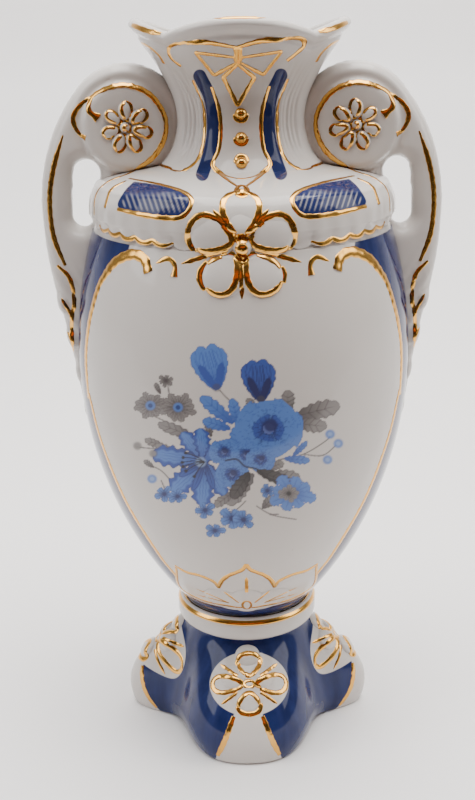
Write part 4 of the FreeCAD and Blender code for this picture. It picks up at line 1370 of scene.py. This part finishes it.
def circle_outline(centre, radius, count=18):
    turns = np.linspace(0, 2 * math.pi, count)
    return [(centre[0] + radius * math.cos(t), centre[1] + radius * math.sin(t)) for t in turns]


def gild_mouth(gilding, turn):
    """Scrolls on the front lobe, a bow and a diamond under them, and lines on the lobes beside it."""
    keys = {"turn": turn}
    gilding.line(
        [(-1.0, 240.6), (-12.2, 242.4), (-20.0, 242.0), (-23.0, 240.4), (-22.3, 237.4), (-19.2, 235.0)],
        width=1.4, drop=0.15, **keys
    )
    gilding.line(
        [
            (-1.0, 240.6), (6.2, 242.4), (15.2, 243.2), (20.0, 243.0), (20.7, 240.9), (17.8, 238.2),
            (15.2, 236.3)
        ],
        width=1.54, drop=0.2, **keys
    )
    for side in (-1, 1):
        bow = [(0.4, 237.4), (14.0, 239.2), (8.0, 232.0), (0.8, 235.8)]
        gilding.line([(side * x - 0.5, z) for x, z in bow], width=1.12, curved=False, **keys)
    gilding.line([(-0.8, 241.0), (-0.6, 238.4), (-0.8, 235.6)], width=2.24, **keys)
    gilding.line(
        [(-0.8, 235.4), (-5.6, 231.4), (-1.0, 222.4), (4.6, 231.2), (-0.8, 235.4)], width=1.26,
        curved=False, **keys
    )
    gilding.line(
        [(-22.0, 247.6), (-12.0, 249.3), (0.0, 249.9), (12.0, 249.3), (22.0, 247.6)], width=1.26, **keys
    )
    both_sides(gilding, [(34.6, 248.0), (30.0, 246.2), (25.4, 245.2)], width=1.4, **keys)
    both_sides(
        gilding, [(34.2, 243.4), (29.6, 241.2), (26.4, 238.6), (24.8, 236.0)], width=1.4, drop=0.25, **keys
    )


def gild_neck(gilding, turn):
    """Lines along both edges of the blue bands, which swing out along the neck's base and in to the beads."""
    outer = [
        (15.4, 230.6), (12.7, 223.6), (11.9, 216.0), (12.8, 209.0), (15.6, 204.0), (20.7, 201.4),
        (27.0, 203.6)
    ]
    inner = [(9.4, 228.4), (7.2, 221.4), (6.7, 214.8), (7.5, 208.2), (9.6, 203.2), (5.2, 198.8), (1.0, 195.8)]
    both_sides(gilding, outer, width=1.33, turn=turn)
    both_sides(gilding, inner, width=1.26, turn=turn)
    gilding.line(
        [(-9.4, 203.2), (-5.4, 199.9), (0.0, 198.7), (5.4, 199.9), (9.4, 203.2)], width=0.84, turn=turn
    )
    for height in (219.3, 211.8, 204.4, 194.6):
        gilding.line(circle_outline((0.0, height), 1.9), width=1.4, taper=(1, 1), turn=turn)


def gild_shoulder(gilding, turn):
    """Lozenge borders, end scrolls and the line along the hem."""
    top_edge = [
        (37.5, 199.2), (27.0, 197.1), (19.2, 194.4), (16.9, 191.0), (20.8, 186.0), (31.0, 186.5),
        (42.0, 189.0)
    ]
    both_sides(gilding, top_edge, width=1.4, turn=turn)
    both_sides(gilding, [(38.8, 198.4), (43.8, 195.6), (46.2, 189.6)], width=1.54, drop=0.35, turn=turn)
    azimuths = np.linspace(math.radians(24), math.radians(66), 90)
    hem = []
    for azimuth in azimuths:
        height = float(hem_height(np.array([azimuth + FRONT]))[0]) + 0.9
        radius = bowl_radius(height) + 1.0
        place = np.array([[radius * math.sin(azimuth), -radius * math.cos(azimuth), height]])
        across, up = on_board(place)
        hem.append((float(across[0]), float(up[0])))
    both_sides(gilding, hem, width=1.4, taper=(0.3, 0.5), turn=turn, curved=False)


def gild_flower(gilding, turn):
    """The five-petalled flower across the seam, with spurs between its petals and two small comma scrolls."""
    centre = (-0.4, 176.4)
    for i, reach in enumerate((10.4, 11.0, 12.0, 12.0, 11.0)):
        bearing = math.radians(90 + 72 * i)
        gilding.line(petal_outline(centre, bearing, reach, 15.4, 16.4), width=1.75, taper=(1, 1), turn=turn)
    for away, spin in ((15.2, 52), (15.2, 128), (21.5, -17), (21.5, 197), (19.0, 270)):
        bearing = math.radians(spin)
        start = (centre[0] + 5.0 * math.cos(bearing), centre[1] + 5.0 * math.sin(bearing))
        stop = (centre[0] + away * math.cos(bearing), centre[1] + away * math.sin(bearing))
        gilding.line([start, stop], width=1.4, taper=(1, 0.15), turn=turn, curved=False)
    for height in (178.6, 174.6, 171.6):
        gilding.line(circle_outline((centre[0], height), 1.3), width=1.82, taper=(1, 1), turn=turn)
    both_sides(
        gilding, [(29.6, 170.4), (25.6, 172.0), (23.2, 169.6), (23.6, 165.6)], width=1.4, taper=(0.2, 1),
        drop=0.5, turn=turn
    )


def gild_panel(gilding, turn):
    """The panel's border: a broad hook at the top that thins to a fine line at the lotus."""
    hook = [(32.4, 167.2), (33.6, 171.8), (37.8, 173.6), (43.8, 170.9), (48.0, 165.5)]
    both_sides(gilding, hook, width=3.0, taper=(1.0, 0.75), drop=0.0, turn=turn)
    upper = [(46.6, 167.8), (49.9, 161.9), (53.5, 150.0), (55.3, 137.5), (55.3, 122.5)]
    both_sides(gilding, upper, width=2.4, taper=(1, 0.7), turn=turn)
    lower = [(55.0, 124.0), (51.4, 105.5), (43.7, 82.5), (32.7, 61.5), (26.2, 52.0)]
    both_sides(gilding, lower, width=2.0, taper=(1, 0.8), turn=turn)


def gild_lotus(gilding, turn):
    """Three leaves over the collar, fine veins in them, and a small jewel at their root."""
    both_sides(
        gilding, [(0.0, 56.6), (1.6, 54.2), (6.6, 52.0), (9.4, 49.6), (10.4, 46.9)], width=1.5, turn=turn
    )
    both_sides(
        gilding, [(10.4, 46.9), (12.4, 49.6), (17.6, 52.2), (22.4, 53.6), (26.6, 56.4)], width=1.5,
        turn=turn
    )
    both_sides(
        gilding, [(26.2, 55.6), (25.0, 47.6), (16.4, 41.8), (5.2, 39.0), (1.8, 38.6)], width=1.3, turn=turn
    )
    gilding.line([(0.0, 51.2), (0.0, 45.0)], width=1.12, taper=(0.2, 1), turn=turn, curved=False)
    for lean, reach in ((-1.25, 20.0), (-1.05, 22.0), (-0.8, 12.0), (0.8, 12.0), (1.05, 22.0), (1.25, 20.0)):
        tip = (reach * math.sin(lean), 39.6 + reach * math.cos(lean) * 0.55 + 1.2)
        gilding.line([(tip[0] * 0.35, 40.6), tip], width=0.63, taper=(0.8, 0.2), turn=turn, curved=False)
    gilding.line(circle_outline((0.0, 39.6), 1.7), width=0.84, turn=turn)


def gild_foot(gilding, turn):
    """The four-petalled flower in its roundel and the two lines that spread below it."""
    centre = FOOT_ROUNDEL[:2]
    petals = ((8.6, 11.6, 10.6), (8.6, 9.8, 11.4), (8.4, 11.6, 9.6), (8.6, 9.8, 11.4))
    for i, (reach, length, width) in enumerate(petals):
        bearing = math.radians(90 * i)
        gilding.line(
            petal_outline(centre, bearing, reach, length, width), width=1.61, taper=(1, 1), turn=turn
        )
    gilding.line(
        [(centre[0] + 2.0 * math.cos(t), centre[1] + 1.6 * math.sin(t)) for t in np.linspace(0, 6.3, 14)],
        width=1.12, turn=turn
    )
    for spin in (42, 138, 222, 318):
        bearing = math.radians(spin)
        ends = [
            (centre[0] + r * math.cos(bearing), centre[1] + 0.9 * r * math.sin(bearing))
            for r in (6.0, 14.6)
        ]
        gilding.line(ends, width=1.12, taper=(1, 0.3), turn=turn, curved=False)
    both_sides(gilding, [(5.6, -8.7), (9.2, -19.5), (12.2, -26.4)], width=1.68, turn=turn)


def gild_volute(gilding, turn):
    """The long scroll line round each volute, its curled branch, and the outlines of the rosette."""
    for side in (-1, 1):
        def placed(points):
            return [(side * x, z) for x, z in points]

        scroll = [
            (46.8, 218.8), (50.0, 221.8), (47.4, 226.8), (38.4, 229.4), (30.0, 226.6), (25.0, 219.4),
            (25.2, 212.4), (29.5, 205.8), (36.8, 201.2), (43.6, 198.8), (47.6, 196.0), (49.4, 192.4),
            (49.9, 187.2)
        ]
        gilding.line(placed(scroll[::-1]), width=1.61, taper=(0.4, 1), drop=0.7, turn=turn)
        branch = [(47.2, 226.9), (52.6, 223.0), (55.2, 219.0), (53.8, 214.6), (51.4, 212.4)]
        gilding.line(placed(branch), width=1.4, taper=(0.8, 0.8), drop=0.3, turn=turn)
        centre = (side * VOLUTE[0] * 1.0, VOLUTE[1] - 0.9)
        for i in range(7):
            bearing = math.radians(90 + 360 / 7 * i)
            gilding.line(petal_outline(centre, bearing, 5.3, 6.0, 4.4), width=1.05, taper=(1, 1), turn=turn)
        gilding.line(circle_outline(centre, 1.2), width=1.12, turn=turn)


def gild_arm(gilding, turn):
    """The line down each arm and the leaf's edge with its spurs."""
    arm = [(58.8, 213.6), (62.6, 203.0), (64.6, 192.0), (64.0, 180.0), (60.6, 170.0)]
    both_sides(gilding, arm, width=1.61, taper=(0.3, 0.6), turn=turn)
    edge = [
        (63.4, 170.0), (59.4, 165.6), (58.2, 157.6), (59.4, 152.0), (59.8, 144.2), (59.4, 134.6),
        (58.0, 124.0)
    ]
    both_sides(gilding, edge, width=1.33, turn=turn)
    for base, tip in (
        ((59.4, 152.4), (62.6, 158.6)), ((59.8, 143.4), (63.2, 150.4)), ((59.5, 134.0), (62.4, 142.6))
    ):
        both_sides(gilding, [base, tip], width=1.12, taper=(1, 0.3), turn=turn, curved=False)


def gild_collar(gilding):
    """The broad gold band on the collar ring's upper edge."""
    radius, height, half = COLLAR_RADIUS - 1.2, COLLAR_TOP - 1.2, 1.75
    count = 220
    for i in range(count):
        turn = 2 * math.pi * i / count
        out = (math.cos(turn) * 0.75, math.sin(turn) * 0.75, 0.66)
        gilding.places.append((radius * math.cos(turn) * MM, radius * math.sin(turn) * MM, height * MM))
        gilding.normals.append(out)
        gilding.radii.append(half * MM)
        gilding.edges.append((i, (i + 1) % count))


# ------------------------------------------------------------------------------ operators


def sprig_nodes():
    """Names and objects of the moulded sprigs, which keep their cast form."""
    words = ("flower", "rosette", "lotus", "bead")
    return [(name, node) for name, node in frame["nodes"].items() if any(word in name for word in words)]


class PieceOperator:
    """What every operator of this add-on shares."""

    bl_options = {"REGISTER", "UNDO"}


class VASE_OT_body(PieceOperator, bpy.types.Operator):
    """Builds the glazed and painted bowl, collar ring, shoulder and neck"""

    bl_idname = "vase.body"
    bl_label = "Bowl, shoulder and neck"

    def execute(self, context):
        bowl, shoulder, neck = bowl_piece(), shoulder_piece(), neck_piece()
        for piece, ground in ((bowl, bowl_ground), (shoulder, shoulder_ground), (neck, neck_ground)):
            places = vertex_places(piece)
            store_amount(piece, "ground", ground(places))
            store_amount(piece, "comb", comb_lines(places) * (piece is shoulder))
            enamel = bowl_enamel(places) if piece is bowl else np.zeros((len(places), 4))
            store_colour(piece, "enamel", enamel)
            settle(piece, material("painted_porcelain"), "porcelain", piece.name.replace("glazed_", ""))
        settle(collar_piece(), material("white_porcelain"), "porcelain", "collar_ring")
        return {"FINISHED"}


class VASE_OT_foot(PieceOperator, bpy.types.Operator):
    """Builds the four-lobed foot in cobalt with white roundels"""

    bl_idname = "vase.foot"
    bl_label = "Foot"

    def execute(self, context):
        foot = foot_piece()
        places = vertex_places(foot)
        store_amount(foot, "ground", foot_ground(places))
        store_amount(foot, "comb", np.zeros(len(places)))
        store_colour(foot, "enamel", np.zeros((len(places), 4)))
        settle(foot, material("painted_porcelain"), "cobalt_porcelain", "foot")
        return {"FINISHED"}


class VASE_OT_handles(PieceOperator, bpy.types.Operator):
    """Builds the two scroll handles"""

    bl_idname = "vase.handles"
    bl_label = "Handles"

    def execute(self, context):
        for side, node in ((-1, "handle_left"), (1, "handle_right")):
            settle(handle_piece(side), material("white_porcelain"), "porcelain", node)
        return {"FINISHED"}


class VASE_OT_sprigs(PieceOperator, bpy.types.Operator):
    """Glazes the moulded sprigs, which keep their cast form"""

    bl_idname = "vase.sprigs"
    bl_label = "Sprigs"

    def execute(self, context):
        for name, node in sprig_nodes():
            node.data.materials.clear()
            node.data.materials.append(material("gold_lustre" if "bead" in name else "white_porcelain"))
        return {"FINISHED"}


class VASE_OT_gilding(PieceOperator, bpy.types.Operator):
    """Throws every gilt line onto the glazed pieces and raises it"""

    bl_idname = "vase.gilding"
    bl_label = "Gilding"

    def execute(self, context):
        sprigs = [node for _, node in sprig_nodes()]
        glazed = [o for o in bpy.data.objects if o.name.startswith("glazed_")]
        canvas = Canvas(glazed + sprigs)
        groups = (
            ("gilt_mouth_and_neck", (gild_mouth, gild_neck), 2),
            ("gilt_shoulder", (gild_shoulder, gild_flower), 2),
            ("gilt_panel", (gild_panel, gild_lotus), 2),
            ("gilt_handles", (gild_volute, gild_arm), 2),
            ("gilt_foot", (gild_foot,), 4),
        )
        for name, painters, turns in groups:
            gilding = Gilding(canvas)
            for i in range(turns):
                for paint in painters:
                    paint(gilding, 2 * math.pi * i / turns)
            gilding.piece(name)
        band = Gilding(canvas)
        gild_collar(band)
        band.piece("gilt_collar_band")
        return {"FINISHED"}


class VASE_OT_stage(PieceOperator, bpy.types.Operator):
    """Sets the table, the lights and the camera"""

    bl_idname = "vase.stage"
    bl_label = "Stage"

    def execute(self, context):
        build_table()
        build_lights()
        build_camera()
        return {"FINISHED"}


def plain_material(name, colour, roughness=0.9):
    """A material of one dull colour, for the stage."""
    made = bpy.data.materials.new(name)
    made.use_nodes = True
    shader = made.node_tree.nodes["Principled BSDF"]
    shader.inputs["Base Color"].default_value = (*colour, 1)
    shader.inputs["Roughness"].default_value = roughness
    return made


# Half width, place, lowest and highest edge of the cards behind the camera.
DARK_CARD = (1100, -820, 20, 1000)
WARM_CARD = (420, -780, 330, 470)
# Degrees that the camera looks down and leans, its lens in millimetres, and its sideways shift.
CAMERA_PITCH = 18.1
CAMERA_ROLL = -0.7
CAMERA_LENS = 52.3
CAMERA_SHIFT = -0.0085
ROOM_LIGHT = 0.32


def build_table():
    """A pale sheet that lies flat under the vase and sweeps up behind it. It is clear from its back, so that
    the vase is seen from every side."""
    section = through([(-1400, 0), (-300, 0), (250, 0), (520, 30), (660, 160), (700, 400), (705, 1500)], 10)
    verts, faces = [], []
    for y, z in section:
        verts += [(-1800, y, max(z, 0)), (1800, y, max(z, 0))]
    for i in range(len(section) - 1):
        faces.append((2 * i, 2 * i + 1, 2 * i + 3, 2 * i + 2))
    sheet = add_mesh("table_sheet", verts, faces)
    paper = plain_material("table_paper", (0.86, 0.845, 0.84))
    nodes, links = paper.node_tree.nodes, paper.node_tree.links
    side = nodes.new("ShaderNodeNewGeometry")
    clear = nodes.new("ShaderNodeBsdfTransparent")
    either = nodes.new("ShaderNodeMixShader")
    links.new(side.outputs["Backfacing"], either.inputs["Fac"])
    links.new(nodes["Principled BSDF"].outputs["BSDF"], either.inputs[1])
    links.new(clear.outputs["BSDF"], either.inputs[2])
    links.new(either.outputs["Shader"], nodes["Material Output"].inputs["Surface"])
    sheet.data.materials.append(paper)
    corners = [(-1100, -820, 1), (1100, -820, 1), (1100, -228, 1), (-1100, -228, 1)]
    cloth = add_mesh("dark_floor", corners, [(0, 1, 2, 3)])
    cloth.data.materials.append(plain_material("dark_floor_cloth", (0.022, 0.015, 0.012)))
    cloth.visible_camera = False
    cloth.visible_shadow = False


def area_light(name, place, target, size, power, colour=(1, 1, 1)):
    data = bpy.data.lights.new(name, "AREA")
    data.shape = "RECTANGLE"
    data.size, data.size_y = size
    data.energy = power
    data.color = colour
    lamp = bpy.data.objects.new(name, data)
    lamp.location = Vector(place)
    lamp.rotation_euler = (Vector(target) - Vector(place)).to_track_quat("-Z", "Y").to_euler()
    bpy.context.scene.collection.objects.link(lamp)
    return lamp


def build_lights():
    world = bpy.data.worlds.new("room")
    world.use_nodes = True
    background = world.node_tree.nodes["Background"]
    background.inputs["Color"].default_value = (0.95, 0.96, 1.0, 1)
    background.inputs["Strength"].default_value = ROOM_LIGHT
    bpy.context.scene.world = world
    area_light("ceiling_light", (0.05, 0.0, 1.15), (0, 0, 0.1), (1.1, 0.8), 29, (1.0, 0.98, 0.95))
    area_light("left_light", (-0.95, -0.25, 0.75), (0, 0, 0.12), (0.5, 0.9), 7, (0.97, 0.98, 1.0))
    area_light("right_light", (0.95, -0.1, 0.8), (0, 0, 0.12), (0.5, 0.9), 7, (1.0, 0.98, 0.96))
    dark = add_mesh("dark_card", card_corners(*DARK_CARD), [(0, 1, 2, 3)])
    dark.data.materials.append(plain_material("dark_cloth", (0.018, 0.013, 0.011)))
    dark.visible_camera = False
    warm = add_mesh("warm_card", card_corners(*WARM_CARD), [(0, 1, 2, 3)])
    warm.data.materials.append(plain_material("warm_cloth", (0.42, 0.10, 0.025)))
    warm.visible_camera = False


def card_corners(half, y, low, high):
    """An upright card behind the camera."""
    return [(-half, y, low), (half, y, low), (half, y, high), (-half, y, high)]


def build_camera():
    """The camera looks down a little from the height of the mouth."""
    data = bpy.data.cameras.new("camera")
    camera = bpy.data.objects.new("camera", data)
    bpy.context.scene.collection.objects.link(camera)
    camera.location = (0, -sizes().eye_distance, sizes().eye_height)
    pitch, roll = math.radians(CAMERA_PITCH), math.radians(CAMERA_ROLL)
    camera.rotation_euler = (math.pi / 2 - pitch, 0, 0)
    camera.rotation_euler.rotate_axis("Z", roll)
    data.sensor_width = 36.0
    data.lens = CAMERA_LENS
    data.shift_x = CAMERA_SHIFT
    data.clip_start = 0.01
    bpy.context.scene.camera = camera


class VASE_PT_panel(bpy.types.Panel):
    """Lists the vase's sizes, colours and pieces"""

    bl_idname = "VASE_PT_panel"
    bl_label = "Rococo Porcelain Vase"
    bl_space_type = "VIEW_3D"
    bl_region_type = "UI"
    bl_category = "Vase"

    def draw(self, context):
        for group in (context.scene.vase_sizes, context.scene.vase_colours):
            column = self.layout.column(align=True)
            for name in group.__annotations__:
                column.prop(group, name)
        for operator in OPERATORS:
            self.layout.operator(operator.bl_idname)


OPERATORS = (VASE_OT_body, VASE_OT_foot, VASE_OT_handles, VASE_OT_sprigs, VASE_OT_gilding, VASE_OT_stage)
CLASSES = (VaseSizes, VaseColours) + OPERATORS + (VASE_PT_panel,)


def register():
    for each in CLASSES:
        bpy.utils.register_class(each)
    bpy.types.Scene.vase_sizes = PointerProperty(type=VaseSizes)
    bpy.types.Scene.vase_colours = PointerProperty(type=VaseColours)


def unregister():
    del bpy.types.Scene.vase_colours
    del bpy.types.Scene.vase_sizes
    for each in reversed(CLASSES):
        bpy.utils.unregister_class(each)


def main():
    register()
    bpy.ops.vase.body()
    bpy.ops.vase.foot()
    bpy.ops.vase.handles()
    bpy.ops.vase.sprigs()
    bpy.ops.vase.gilding()
    bpy.ops.vase.stage()


if __name__ == "__main__":
    main()
